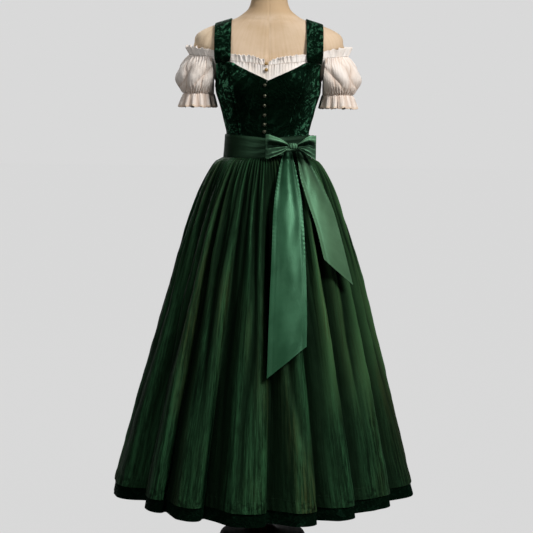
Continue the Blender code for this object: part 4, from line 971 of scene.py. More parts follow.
@dataclass(frozen=True)
class Stitching:
    """Rows of rounded stitches, or of the small knots of a picot edge, laid along paths by a node tree."""

    thread: Finish
    spacing: float = 0.0034
    length: float = 0.0025
    thickness: float = 0.0005
    wander: float = 0.16
    seed: int = 17

    @staticmethod
    def tree() -> NodeTree:
        """Geometry node tree that sets a stitch at each step along a path, made once."""
        known = bpy.data.node_groups.get("stitch_row")
        if known:
            return known
        group = bpy.data.node_groups.new("stitch_row", "GeometryNodeTree")
        for name, kind in (
            ("Path", "Geometry"), ("Spacing", "Float"), ("Length", "Float"), ("Thickness", "Float"),
            ("Wander", "Float"), ("Seed", "Int"), ("Thread", "Material"),
        ):
            group.interface.new_socket(name, in_out="INPUT", socket_type=f"NodeSocket{kind}")
        group.interface.new_socket("Stitches", in_out="OUTPUT", socket_type="NodeSocketGeometry")
        tree = Tree(group)
        given = tree.add("NodeGroupInput").outputs
        line = tree.first("GeometryNodeMeshToCurve", {"Mesh": given["Path"]})
        spaced = {"Curve": line, "Length": given["Spacing"]}
        steps = tree.first("GeometryNodeResampleCurve", spaced, mode="LENGTH")
        ball = tree.first("GeometryNodeMeshUVSphere", {"Segments": 5, "Rings": 3, "Radius": 0.5})
        smooth = tree.first("GeometryNodeSetShadeSmooth", {"Geometry": ball})
        sides = {0: given["Thickness"], 1: given["Thickness"], 2: given["Length"]}
        size = tree.first("ShaderNodeCombineXYZ", sides)
        direction = tree.first("GeometryNodeInputTangent")
        turn = tree.first("FunctionNodeAlignRotationToVector", {"Vector": direction}, axis="Z")
        least = tree.math("SUBTRACT", 1.0, given["Wander"])
        limits = {2: least, 3: tree.plus(1.0, given["Wander"]), "Seed": given["Seed"]}
        uneven = tree.add("FunctionNodeRandomValue", limits, data_type="FLOAT").outputs[1]
        scale = tree.first("ShaderNodeVectorMath", {0: size, "Scale": uneven}, operation="SCALE")
        set_out = {"Points": steps, "Instance": smooth, "Rotation": turn, "Scale": scale}
        placed = tree.first("GeometryNodeInstanceOnPoints", set_out)
        plain = tree.first("GeometryNodeRealizeInstances", {0: placed})
        threaded = tree.first("GeometryNodeSetMaterial", {"Geometry": plain, "Material": given["Thread"]})
        tree.add("NodeGroupOutput", {"Stitches": threaded})
        return group

    def along(self, name: str, paths: Sequence[Array]) -> Piece:
        """Sew stitches along paths.

        Args:
            name: the piece's name.
            paths: points of each path, in order.

        Returns:
            The stitches as one piece.
        """
        points = np.concatenate(paths)
        ends = set(np.cumsum([len(path) for path in paths]) - 1)
        edges = [(step, step + 1) for step in range(len(points)) if step not in ends]
        mesh = bpy.data.meshes.new(f"{name}_path")
        mesh.from_pydata(points.tolist(), edges, [])
        carrier = linked(f"{name}_path", mesh)
        modifier = carrier.modifiers.new("stitches", "NODES")
        modifier.node_group = self.tree()
        values = {
            "Spacing": self.spacing, "Length": self.length, "Thickness": self.thickness,
            "Wander": self.wander, "Seed": self.seed, "Thread": self.thread.material(),
        }
        for socket in modifier.node_group.interface.items_tree:
            if socket.in_out == "INPUT" and socket.name in values:
                modifier[socket.identifier] = values[socket.name]
        evaluated = carrier.evaluated_get(bpy.context.evaluated_depsgraph_get())
        made = linked(name, bpy.data.meshes.new_from_object(evaluated))
        bpy.data.objects.remove(carrier)
        return Piece(made, "").settle(self.thread)


GREEN_THREAD = Thread("satin", "_thread")
DARK_THREAD = Thread("taffeta", "_thread", colour(0.006, 0.020, 0.009), colour(0.016, 0.045, 0.020))
WHITE_THREAD = Thread("cotton", "_thread", colour(0.80, 0.70, 0.62), colour(0.88, 0.80, 0.73))
HEM_STITCHES = Stitching(GREEN_THREAD, thickness=0.0004)
TAN_CORD = Thread("cotton", "_cord", colour(0.68, 0.51, 0.37), colour(0.84, 0.68, 0.52))


# ---------------------------------------------------------------- form and stand


@dataclass(frozen=True)
class FormStand:
    """Limbless form on a pole and a turned base."""

    figure: Figure
    columns: int = 128
    rows: int = 110
    seam_depth: float = 0.0011
    seam_width: float = 0.0022
    neck_height: float = 1.482
    padding: float = 0.015
    padding_height: float = 1.399
    cap: tuple[Pair, ...] = (
        (0.985, 0.0015), (0.93, 0.004), (0.80, 0.0068), (0.60, 0.0088), (0.35, 0.0098), (0.10, 0.010),
    )
    pole_radius: float = 0.016
    pole_top: float = 0.9297
    base: tuple[Pair, ...] = (
        (0.000, 0.160), (0.003, 0.163), (0.018, 0.163), (0.023, 0.158), (0.030, 0.128),
        (0.040, 0.122), (0.054, 0.118), (0.061, 0.111), (0.066, 0.050), (0.078, 0.026),
    )

    def seams(self, angle: Array, z: Array) -> Array:
        """Depth of the sewn grooves: down the middle, and round the foot of the neck."""
        side = both_sides(angle)
        across = np.radians(np.minimum(side, 180.0 - side)) * 0.1
        groove = hump(across, 0.0, self.seam_width)
        neck = self.neck_height - 0.010 * np.cos(np.radians(angle))
        return self.seam_depth * np.maximum(groove, hump(z, neck, self.seam_width * 1.2))

    def body(self) -> Piece:
        """Linen body, its neck closed by a domed cap."""
        angle = (np.arange(self.columns) * 360.0 / self.columns)[None, :]
        places = self.figure.sections["front"].places
        share = np.linspace(0, len(places) - 1, self.rows)
        z = np.interp(share, range(len(places)), places)[:, None]
        padding = self.padding * hump(both_sides(angle), 90.0, 15.0) * hump(z, self.padding_height, 0.012)
        rings = self.figure.on(angle, z, padding - self.seams(angle, z))
        cap = [rings[-1] * (inset, inset, 1.0) + (0, 0, rise) for inset, rise in self.cap]
        rings = np.concatenate([rings, np.array(cap)])
        return turned("form_body_linen", rings, Cloth.LINEN)

    def stand(self) -> list[Piece]:
        """Base and pole, turned from dark wood."""
        angle = (np.arange(96) * 360.0 / 96)[None, :]
        steps = tuple(range(len(self.base)))
        height, width = (Curve(steps, values) for values in zip(*self.base))
        place = row_steps(0, len(self.base) - 1, 64)
        foot = polar(angle, width(place), height(place))
        z = row_steps(self.base[-1][0] + 0.0003, self.pole_top, 12)
        pole = polar(angle, np.full_like(z, self.pole_radius), z)
        return [turned("stand_base_wood", foot, Cloth.WOOD), turned("stand_pole_wood", pole, Cloth.WOOD)]


# ---------------------------------------------------------------- bodice


@dataclass(frozen=True)
class Bodice:
    """Velvet panels round the figure, the straps over its shoulders and the six buttons."""

    figure: Figure
    bottom: float = 1.1045
    wall: float = 0.002
    gap: float = 0.0003
    mean_radius: float = 0.11
    closure: float = -1.5
    pivot_z: float = 1.368
    strap_x: float = 0.101
    strap_width: float = 0.0455
    strap_ends: tuple[Pair, Pair] = ((46.0, 64.0), (138.0, 121.0))
    top: Curve = Curve(
        (0.0, 23.0, 35.0, 46.0, 64.0, 75.0, 90.0, 104.0, 121.0, 138.0, 180.0),
        (1.3100, 1.3325, 1.3460, 1.3585, 1.3540, 1.3180, 1.2980, 1.3080, 1.3450, 1.3500, 1.3420))
    left_seam: Curve = Curve((1.104, 1.178, 1.280, 1.365), (-48.0, -48.0, -45.0, -46.0))
    right_seam: Curve = Curve((1.104, 1.178, 1.280, 1.365), (35.0, 36.0, 40.0, 46.0))
    button_x: float = -0.009
    button_heights: tuple[float, ...] = (1.2977, 1.2694, 1.2439, 1.2185, 1.1935, 1.1745)
    button_pitch: float = 0.0255

    def relief(self, from_left: Array, from_right: Array, z: Array, angle: Array, by_closure: float) -> Array:
        """Rise of the velvet: drawn in at its seams, puckered across by the buttons, and slightly crushed.

        Args:
            from_left: distance from the left seam, in metres.
            from_right: distance from the right seam.
            z: height.
            angle: polar angle.
            by_closure: how strongly the closure puckers this panel.

        Returns:
            Distance outward.
        """
        seam = -0.0012 * (fading(from_left, 0.0035) + fading(from_right, 0.0035))
        wave = np.cos((z - self.button_heights[0]) * math.tau / self.button_pitch)
        from_closure = np.abs(np.radians(angle - self.closure)) * 0.09
        pull = by_closure * 0.0011 * wave * fading(from_closure, 0.020)
        crush = 0.0007 * Sway(11, 60.0, 240.0)(np.radians(angle) * 0.12, z)
        return seam + pull + crush * blend(0.0, 0.012, np.minimum(from_left, from_right))

    def panel(self, node: str, left: Angle, right: Angle, columns: int, closure: float) -> Piece:
        """Velvet panel between two seams, from the waist up to the neckline."""
        share = column_steps(0.0, 1.0, columns)
        inset = math.degrees(self.gap / 2 / self.mean_radius)

        def angle_at(z: Array) -> Array:
            """Angles of a row at each height, from seam to seam."""
            low = left(z) + inset
            return low + (right(z) - inset - low) * share

        top = np.full_like(share, self.bottom)
        for _ in range(PASSES):
            top = self.top(both_sides(angle_at(top)))
        z = self.bottom + (top - self.bottom) * row_steps(0.0, 1.0, 50)
        angle = angle_at(z)
        radius = self.figure.radius(angle, z) + self.figure.bodice
        from_left = np.radians(angle - left(z)) * radius
        from_right = np.radians(right(z) - angle) * radius
        lift = self.relief(from_left, from_right, z, angle, closure)
        edge = -0.0008 * fading(top - z, 0.0012)
        roll = 0.0007 * hump(top - z, 0.0045, 0.003) - 0.0005 * hump(top - z, 0.0085, 0.0015)
        outer = polar(angle, radius + np.maximum(lift, -0.0014) + edge + roll, z)
        inner = polar(angle, radius - self.wall, z)
        return sewn(node, outer, inner, Cloth.VELVET)

    def panels(self) -> list[Piece]:
        """Two fronts that meet at the buttons, two sides and a back."""
        middle = lambda z: np.full_like(z, self.closure)
        plain = lambda side: lambda z: np.full_like(z, side)
        made = []
        for place, left, right, columns, closure, width, length, area in (
            ("front_left", self.left_seam, middle, 56, 0.25, 0.135, 0.26, 0.0215),
            ("front_right", middle, self.right_seam, 50, 1.0, 0.135, 0.26, 0.0185),
            ("side_left", plain(-90.0), self.left_seam, 46, 0.0, 0.12, 0.27, 0.023),
            ("side_right", self.right_seam, plain(90.0), 56, 0.0, 0.14, 0.27, 0.027),
            ("back", plain(90.0), plain(270.0), 130, 0.0, 0.36, 0.27, 0.084),
        ):
            piece = self.panel(f"bodice_{place}", left, right, columns, closure)
            under = ["form_body", f"blouse_{place.replace('side', 'front')}"]
            made.append(piece.cut((width, length), Held.STRETCHED, under, area))
        return made

    def on_ray(self, x: Array, tilt: Array) -> Array:
        """Where rays from the shoulder's pivot leave the straps' layer."""
        near = np.zeros(np.broadcast(x, tilt).shape)
        far = np.full_like(near, 0.2)
        for _ in range(30):
            middle = (near + far) / 2
            y = -middle * np.cos(tilt)
            z = self.pivot_z + middle * np.sin(tilt)
            lifted = z - 0.003 * blend(1.38, 1.45, z)
            angle = np.degrees(np.arctan2(x, -y))
            start = self.top(both_sides(angle)) - 0.004
            swell = blend(start, start + 0.018, z) * (1 - blend(1.395, 1.425, z))
            layer = self.figure.bodice - 0.0040 * blend(1.410, 1.450, z)
            inside = np.hypot(x, y) < self.figure.radius(angle, lifted) + layer + 0.0042 * swell
            near, far = np.where(inside, middle, near), np.where(inside, far, middle)
        return grid_of(x, -near * np.cos(tilt), self.pivot_z + near * np.sin(tilt))

    def straps(self) -> list[Piece]:
        """Straps over the shoulders, from the front edge to the back edge of the bodice."""
        across = column_steps(0.0, 1.0, 22)
        ends = []
        for inner, outer in self.strap_ends:
            angle = inner + (outer - inner) * across[0]
            ends.append(self.figure.on(angle, self.top(angle) + self.gap, self.figure.bodice))
        share = (0.5 - 0.5 * np.cos(np.pi * np.linspace(0.0, 1.0, 150)))[1:-1, None]
        x = self.strap_x + self.strap_width * across - 0.012 * blend(0.55, 0.95, share)
        leaving = blend(-0.04, 0.08, share)
        x = ends[0][None, :, 0] + (x - ends[0][None, :, 0]) * leaving
        tilts = [np.arctan2(end[:, 2] - self.pivot_z, -end[:, 1])[None, :] for end in ends]
        tilt = tilts[0] + (tilts[1] % math.tau - tilts[0]) * share
        rows = self.on_ray(x, tilt)
        outer = np.concatenate([ends[0][None], rows, ends[1][None]])
        inner = moved_out(outer, -self.wall, False)
        edge = 0.0007 * (fading(across, 0.05) + fading(1 - across, 0.05))
        crush = 0.0006 * Sway(21, 40.0, 160.0)(outer[..., 0], outer[..., 1], outer[..., 2])
        outer = moved_out(outer, crush - edge * np.ones_like(crush), False)
        under = ["bodice_back", "neckline_ruffle", "form_body"]
        straps = [sewn(*hand, Cloth.VELVET) for hand in hands("strap", outer, inner)]
        return [strap.cut((0.046, 0.37), Held.STRETCHED, under) for strap in straps]

    def buttons(self) -> list[Piece]:
        """Six buttons down the closing."""
        seat = lambda angle, z: self.figure.on(angle, z, self.figure.bodice)
        return [
            Button(f"bodice_button_{number}", self.button_x, z, Cloth.AGED_METAL).make(seat)
            for number, z in enumerate(self.button_heights, 1)
        ]


@dataclass(frozen=True)
class Button:
    """Domed cast button with a beaded rim and a raised star of petals."""

    node: str
    x: float
    z: float
    cloth: Cloth
    radius: float = 0.0048
    height: float = 0.0036
    clearance: float = 0.0007
    columns: int = 48
    outline: tuple[Pair, ...] = (
        (0.80, 0.0), (0.98, 0.10), (1.0, 0.28), (0.93, 0.42), (0.84, 0.34),
        (0.74, 0.50), (0.60, 0.72), (0.42, 0.86), (0.22, 0.95), (0.05, 1.0),
    )

    def make(self, surface: Callable[[Array, Array], Array]) -> Piece:
        """Set the button just clear of a surface."""
        angle = 0.0
        level = np.array(self.z)
        for _ in range(PASSES):
            away = np.linalg.norm(surface(np.array(angle), level)[:2])
            angle = math.degrees(math.asin(self.x / away))
        place = np.array(angle)
        up = unit(surface(place, level + 0.004) - surface(place, level - 0.004))
        out = unit(np.cross(np.array((1.0, math.tan(math.radians(angle)), 0.0)), up))
        across = np.cross(up, out)
        seat = surface(place, level) + out * self.clearance
        turn = round_steps(self.columns)
        steps = tuple(range(len(self.outline)))
        share, rise = (Curve(steps, values) for values in zip(*self.outline))
        step = row_steps(0, steps[-1], 30)
        petals = 1 + 0.10 * np.cos(turn * 8) * hump(step, 6.0, 1.2)
        petals = petals + 0.04 * np.cos(turn * 24) * hump(step, 2.6, 0.6)
        radius = self.radius * share(step) * np.ones_like(turn)
        height = self.height * rise(step) * petals
        spoke = across * np.cos(turn)[..., None] + up * np.sin(turn)[..., None]
        rings = seat + out * height[..., None] + radius[..., None] * spoke
        return turned(f"{self.node}_metal", rings, self.cloth)


# ---------------------------------------------------------------- blouse


@dataclass(frozen=True)
class Blouse:
    """Off-shoulder cotton blouse: body, neckline ruffle, puff sleeves and their ruffles."""

    figure: Figure
    bodice: Bodice
    wall: float = 0.0015
    ruffle_wall: float = 0.0012
    half_width: float = 0.2165
    front: float = 0.1155
    back: float = 0.0965
    placket: float = -2.5
    placket_half_gap: float = 2.8
    bottom: float = 1.240
    underarm: float = 1.312
    below_line: float = 0.0008
    above_bodice: float = 0.0005
    line: dict[str, Curve] = field(default_factory=lambda: curves("z height lean wave", (
        (0.0, 1.3510, 0.006, 0.000, 0.0010), (5.0, 1.3520, 0.013, 0.001, 0.0030),
        (23.0, 1.3570, 0.018, 0.002, 0.0034), (40.0, 1.3610, 0.018, 0.001, 0.0018),
        (50.0, 1.3650, 0.017, 0.001, 0.0006), (62.0, 1.3720, 0.018, 0.001, 0.0006),
        (70.0, 1.3755, 0.021, 0.005, 0.0026), (90.0, 1.3810, 0.023, 0.009, 0.0042),
        (110.0, 1.3780, 0.021, 0.006, 0.0026), (118.0, 1.3760, 0.016, 0.002, 0.0006),
        (135.0, 1.3730, 0.016, 0.002, 0.0006), (150.0, 1.3710, 0.018, 0.002, 0.0030),
        (180.0, 1.3690, 0.018, 0.002, 0.0030),
    )))
    puff: Curve = Curve((0.0, 0.12, 0.30, 0.54, 0.75, 0.90, 1.0), (0.0, 0.42, 0.86, 1.0, 0.80, 0.40, 0.0))
    foot_centre: Point = (0.189, 0.0, 1.2755)
    foot_half: Pair = (0.041, 0.050)
    inner_limit: float = 0.1485
    puff_out: float = 0.0275
    cuff_waves: int = 14
    cuff_flare: float = 0.0135
    cuff_drop: float = 0.0355
    seam_gap: float = 0.0003

    def line_radius(self, angle: Array) -> Array:
        """Polar radius of the gathered line round chest, arms and back."""
        square = np.where(both_sides(angle) < 90.0, 1.75, 2.0)
        return rounded_radius(angle, self.half_width, self.front, self.back, square)

    def body_radius(self, angle: Array, z: Array) -> Array:
        """Radius of the blouse's body: on the form inside the bodice, out to the gathered line above it."""
        side = both_sides(angle)
        rise = blend(self.bodice.top(side) + self.above_bodice, self.line["z"](side), z)
        low = self.figure.radius(angle, z) + self.figure.blouse
        return low + (self.line_radius(angle) - low) * rise

    def body_top(self, angle: Array) -> Array:
        """Top of the body: the gathered line, and the armhole cut down to the underarm."""
        side = both_sides(angle)
        line = self.line["z"](side) - self.below_line
        reach = np.where(side < 90.0, 26.0, 22.0)
        dip = 1.0 - np.minimum(np.abs(side - 90.0) / reach, 1.0)
        return line + (self.underarm - line) * dip**0.75

    def puckers(self, angle: Array, below: Array) -> Array:
        """Fine upright puckers that fade below the gathered line.

        Args:
            angle: polar angle.
            below: distance below the line, in metres.

        Returns:
            Distance outward, from -1 to 1.
        """
        turn = np.radians(angle)
        fine = np.sin(97 * turn + 1.6 * Sway(31, 5.0, 30.0)(turn))
        broad = np.sin(41 * turn + 2.0 * Sway(32, 3.0, 18.0)(turn) + below * 20.0)
        free = blend(0.0, 9.0, np.abs(both_sides(angle) - 55.0) - 4.0)
        waves = fine * fading(below, 0.018) + 0.8 * broad * fading(below, 0.05)
        return waves * (0.25 + 0.75 * free)

    def panel(self, node: str, start: float, end: float, columns: int) -> Piece:
        """Cotton panel from below the bust up to the gathered line."""
        inset = 0.075
        angle = column_steps(start + inset, end - inset, columns)
        top = self.body_top(angle)
        leaving = np.minimum(self.bodice.top(both_sides(angle)) + self.above_bodice, top - 0.004)
        low, high = row_steps(0.0, 1.0, 4), row_steps(0.0, 1.0, 21)[1:]
        z = np.concatenate([self.bottom + (leaving - self.bottom) * low, leaving + (top - leaving) * high])
        radius = self.body_radius(angle, z)
        below = np.maximum(self.line["z"](both_sides(angle)) - z, 0.0)
        shown = blend(-0.001, 0.006, z - leaving)
        radius = radius + 0.0009 * self.puckers(angle, below) * shown
        outer, inner = polar(angle, radius, z), polar(angle, radius - self.wall, z)
        return sewn(node, outer, inner, Cloth.COTTON)

    def body(self) -> list[Piece]:
        """Two fronts that meet at the placket, and a back."""
        made = []
        for place, start, end, columns, width, area in (
            ("front_left", -90.0, self.placket, 210, 0.30, 0.034),
            ("front_right", self.placket, 90.0, 220, 0.31, 0.036),
            ("back", 90.0, 270.0, 250, 0.60, 0.06),
        ):
            piece = self.panel(f"blouse_{place}", start, end, columns)
            under = ["form_body", f"bodice_{place}"]
            made.append(piece.cut((width, 0.16), Held.GATHERED, under, area))
        return made

    def ruffle(self) -> Piece:
        """Waved strip that stands up from the gathered line and opens at the placket."""
        start = self.placket + self.placket_half_gap
        angle = column_steps(start, start + 360.0 - 2 * self.placket_half_gap, 860)
        turn = np.radians(angle)
        side = both_sides(angle)
        at = {name: curve(side) for name, curve in self.line.items()}
        rise = row_steps(0.0, 1.0, 14)
        drift = Sway(41, 4.0, 26.0)(turn)
        phase = 70 * turn + 2.4 * drift + rise * 2.4 * Sway(42, 8.0, 30.0)(turn)
        size = 1 + 0.5 * Sway(43, 9.0, 40.0)(turn)
        wave = np.sin(phase) + 0.50 * np.sin(2.1 * phase + 1.0 + 2.0 * rise)
        sway = at["wave"] * wave * size * (0.22 + 0.78 * rise**0.8) * (0.55 + 0.45 * blend(45.0, 70.0, side))
        rolled = 0.0012 * hump(rise, 0.93, 0.12) * (at["wave"] > 0.001)
        curl = at["lean"] * (rise**1.4 - 0.30 * rise**5) + rolled
        radius = self.line_radius(angle) + curl + sway
        free = blend(0.0, 0.003, at["wave"])
        uneven = 1 + 0.09 * Sway(44, 14.0, 70.0)(turn) * free
        broad = (0.0014 + 0.0016 * blend(55.0, 80.0, side)) * np.cos(phase + 0.6) * rise
        fine = 0.0008 * np.cos(3.3 * phase + 1.2 * drift) * rise**4
        z = at["z"] + at["height"] * rise * uneven + (broad + fine) * free
        outer, inner = self.ruffle_faces(polar(angle, radius, z), False)
        outer[0, :, 2] = inner[0, :, 2] = at["z"][0]
        under = ["blouse_front_left", "blouse_front_right", "blouse_back", "sleeve_left", "sleeve_right"]
        piece = sewn("neckline_ruffle", outer, inner, Cloth.COTTON)
        return piece.cut((1.55, 0.02), Held.GATHERED, under)

    def ruffle_faces(self, middle: Array, closed: bool) -> tuple[Array, Array]:
        """Outer and inner face of a ruffle from the grid halfway between them."""
        half = self.ruffle_wall / 2
        return moved_out(middle, half, closed), moved_out(middle, -half, closed)

    def buttons(self) -> list[Piece]:
        """Two small buttons on the placket."""
        seat = lambda angle, z: polar(angle, self.body_radius(angle, z) + 0.0018, z)
        return [
            Button("blouse_button_1", -0.0060, 1.3380, Cloth.BRASS).make(seat),
            Button("blouse_button_2", -0.0060, 1.3540, Cloth.BRASS, radius=0.0042).make(seat),
        ]

    def sleeve_rings(self, place: Array) -> tuple[Array, Array, Array]:
        """Head point, foot point and outward direction at places round the right sleeve.

        Args:
            place: share of the way round, the outer part first.

        Returns:
            Head points, foot points and unit directions.
        """
        split = 18 / 28
        outside = place < split
        share = np.where(outside, place / split, (place - split) / (1 - split))
        angle = np.where(outside, 64.0 + 48.0 * share, 112.0 - 48.0 * share)
        line = polar(angle, self.line_radius(angle), self.line["z"](angle) - self.below_line)
        top = self.body_top(angle)
        lapped = polar(angle, self.body_radius(angle, top) + self.wall + self.seam_gap, top)
        head = np.where(outside[:, None], line, lapped)
        turn = np.radians(np.where(outside, -135.0 + 255.0 * share, 120.0 + 105.0 * share))
        direction = np.stack([np.cos(turn), np.sin(turn), np.zeros_like(turn)], axis=-1)
        foot = np.array(self.foot_centre) + direction * np.array((*self.foot_half, 0.0))
        return head, foot, direction

    def sleeves(self) -> list[Piece]:
        """Puff sleeves, gathered at the head and at the foot."""
        place = np.arange(280) / 280
        head, foot, direction = self.sleeve_rings(place)
        down = row_steps(1.0, 0.0, 60)
        turn = place[None, :] * math.tau
        bulge = self.puff(down)
        fullness = 0.25 + 0.75 * (0.5 + 0.5 * direction[None, :, 0])
        foot_pleats = np.sin(46 * turn + 2.6 * Sway(51, 3.0, 20.0)(turn, down * 1.5) + 0.6 * down)
        head_pleats = np.sin(38 * turn + 2.8 * Sway(52, 3.0, 20.0)(turn, down * 1.5))
        lobes = np.abs(np.sin(3.5 * turn + 0.9 * Sway(53, 1.0, 5.0)(turn, down) + 1.1 * down + 0.5)) ** 0.8
        sag = np.abs(np.sin(2.5 * turn - 5.2 * down + 0.9 * Sway(55, 1.0, 5.0)(turn, down) + 2.0)) ** 0.8
        crease = Sway(54, 3.0, 12.0)(turn, down * 1.8)
        outward = self.puff_out * bulge * fullness
        outward = outward + 0.0032 * foot_pleats * fading(1 - down, 0.15) * blend(0.0, 0.03, 1 - down)
        outward = outward + 0.0022 * head_pleats * fading(down, 0.15) * blend(0.0, 0.03, down)
        creases = 0.0072 * (lobes - 0.75) + 0.0072 * (sag - 0.75) + 0.0012 * crease
        outward = outward + creases * bulge * (0.35 + 0.65 * fullness)
        # Painted shade: in the creases, in the pleats at both ends, and over the lower half.
        valleys = np.maximum(0.80 * fading(lobes, 0.30), 0.80 * fading(sag, 0.30)) * bulge
        by_foot = (0.30 - 0.60 * foot_pleats) * fading(1 - down, 0.17)
        by_head = (0.15 - 0.55 * head_pleats) * fading(down, 0.18)
        painted_shade = np.clip(valleys + by_foot + by_head + 0.30 * blend(0.45, 0.9, down), 0.0, 1.0)
        grid = head[None] + (foot - head)[None] * down[..., None] + direction[None] * outward[..., None]
        grid[..., 2] -= 0.004 * bulge * fullness
        free = blend(0.0, 0.04, down)
        grid[..., 0] = np.where(down > 0.0, np.maximum(grid[..., 0], self.inner_limit * free), grid[..., 0])
        inner = moved_out(grid, -self.wall, True)
        inner[0, :, 2] = grid[0, :, 2]
        # Painted shade, a little stronger on the right sleeve.
        shades = {"right": np.clip(painted_shade + 0.20, 0.0, 1.0), "left": painted_shade[:, ::-1]}
        made = []
        for node, face, lining in hands("sleeve", grid, inner):
            hand = node.removeprefix("sleeve_")
            lifted = moved_out(face, STITCH_LIFT, True)
            rows = [np.concatenate([lifted[row], lifted[row, :1]]) for row in (1, 4)]
            stitches = Stitching(WHITE_THREAD, thickness=0.0006).along(f"{node}_stitches", rows)
            piece = sewn(node, face, lining, Cloth.COTTON, closed=True, shaded=shades[hand])
            under = [f"blouse_front_{hand}", "blouse_back"]
            made.append(piece.cut((0.42, 0.15), Held.GATHERED, under, 0.05, [stitches]))
        return made

    def cuffs(self) -> list[Piece]:
        """Waved ruffles that flare below the foot of each sleeve, with a tan scalloped edge."""
        turn = round_steps(360)
        down = row_steps(1.0, 0.0, 18)
        phase = self.cuff_waves * turn + 0.5 * Sway(61, 2.0, 9.0)(turn)
        fine = np.cos(44 * turn + 1.5 * Sway(62, 3.0, 20.0)(turn))
        by_head = fading(down, 0.35)
        wave = 0.0034 * np.cos(phase) * (0.15 + 0.85 * down) + 0.0010 * fine * by_head
        # Painted shade between the waves and the fine pleats, over an even shaded base.
        painted_shade = 0.58 - 0.24 * np.cos(phase) + (0.15 - 0.30 * fine) * by_head
        painted_shade = np.clip(painted_shade, 0.0, 1.0) * np.ones_like(down)
        reach = np.where(np.cos(turn) > 0, 1.0, 0.55)
        spread = self.cuff_flare * reach * np.maximum(down, 1e-9) ** 0.7 + wave - self.ruffle_wall / 2
        x = self.foot_centre[0] + (self.foot_half[0] + spread) * np.cos(turn)
        y = (self.foot_half[1] + spread) * np.sin(turn)
        scallop = 0.0009 * np.abs(np.sin(turn * 30)) * blend(0.8, 1.0, down)
        scallop = scallop - 0.0015 * np.cos(phase - 0.9) * down
        drop = self.cuff_drop - 0.0010 * (0.5 + 0.5 * np.sin(turn)) + 0.0012 * Sway(63, 3.0, 12.0)(turn)
        seam = self.foot_centre[2] - self.seam_gap
        outer, inner = self.ruffle_faces(grid_of(x, y, seam - drop * down - scallop), True)
        outer[-1, :, 2] = inner[-1, :, 2] = seam
        shades = {"cuff_ruffle_right": painted_shade, "cuff_ruffle_left": painted_shade[:, ::-1]}
        picots = Stitching(TAN_CORD, spacing=0.0030, length=0.0022, thickness=0.0013, wander=0.25)
        made = []
        for node, face, lining in hands("cuff_ruffle", outer, inner):
            edge = (face[0] + lining[0]) / 2 + (0.0, 0.0, -0.0002)
            knots = picots.along(f"{node}_picots", [np.concatenate([edge, edge[:1]])])
            piece = sewn(
                node, face, lining, Cloth.COTTON, closed=True, trim=Lace(), trim_rows=2, shaded=shades[node])
            under = [node.replace("cuff_ruffle", "sleeve")]
            made.append(piece.cut((0.42, 0.035), Held.GATHERED, under, sewn_on=[knots]))
        return made


# ---------------------------------------------------------------- skirt and apron


class Fold(NamedTuple):
    """A fold at the hem: its valley's angle and depth, its ridge's reach, and how far that leans over."""

    valley: float
    depth: float
    reach: float
    lean: float


class Band(NamedTuple):
    """Gathers of one size: how many go round, their seed, their depth when full, and at each drop."""

    count: float
    seed: int
    full: float
    depth: Curve


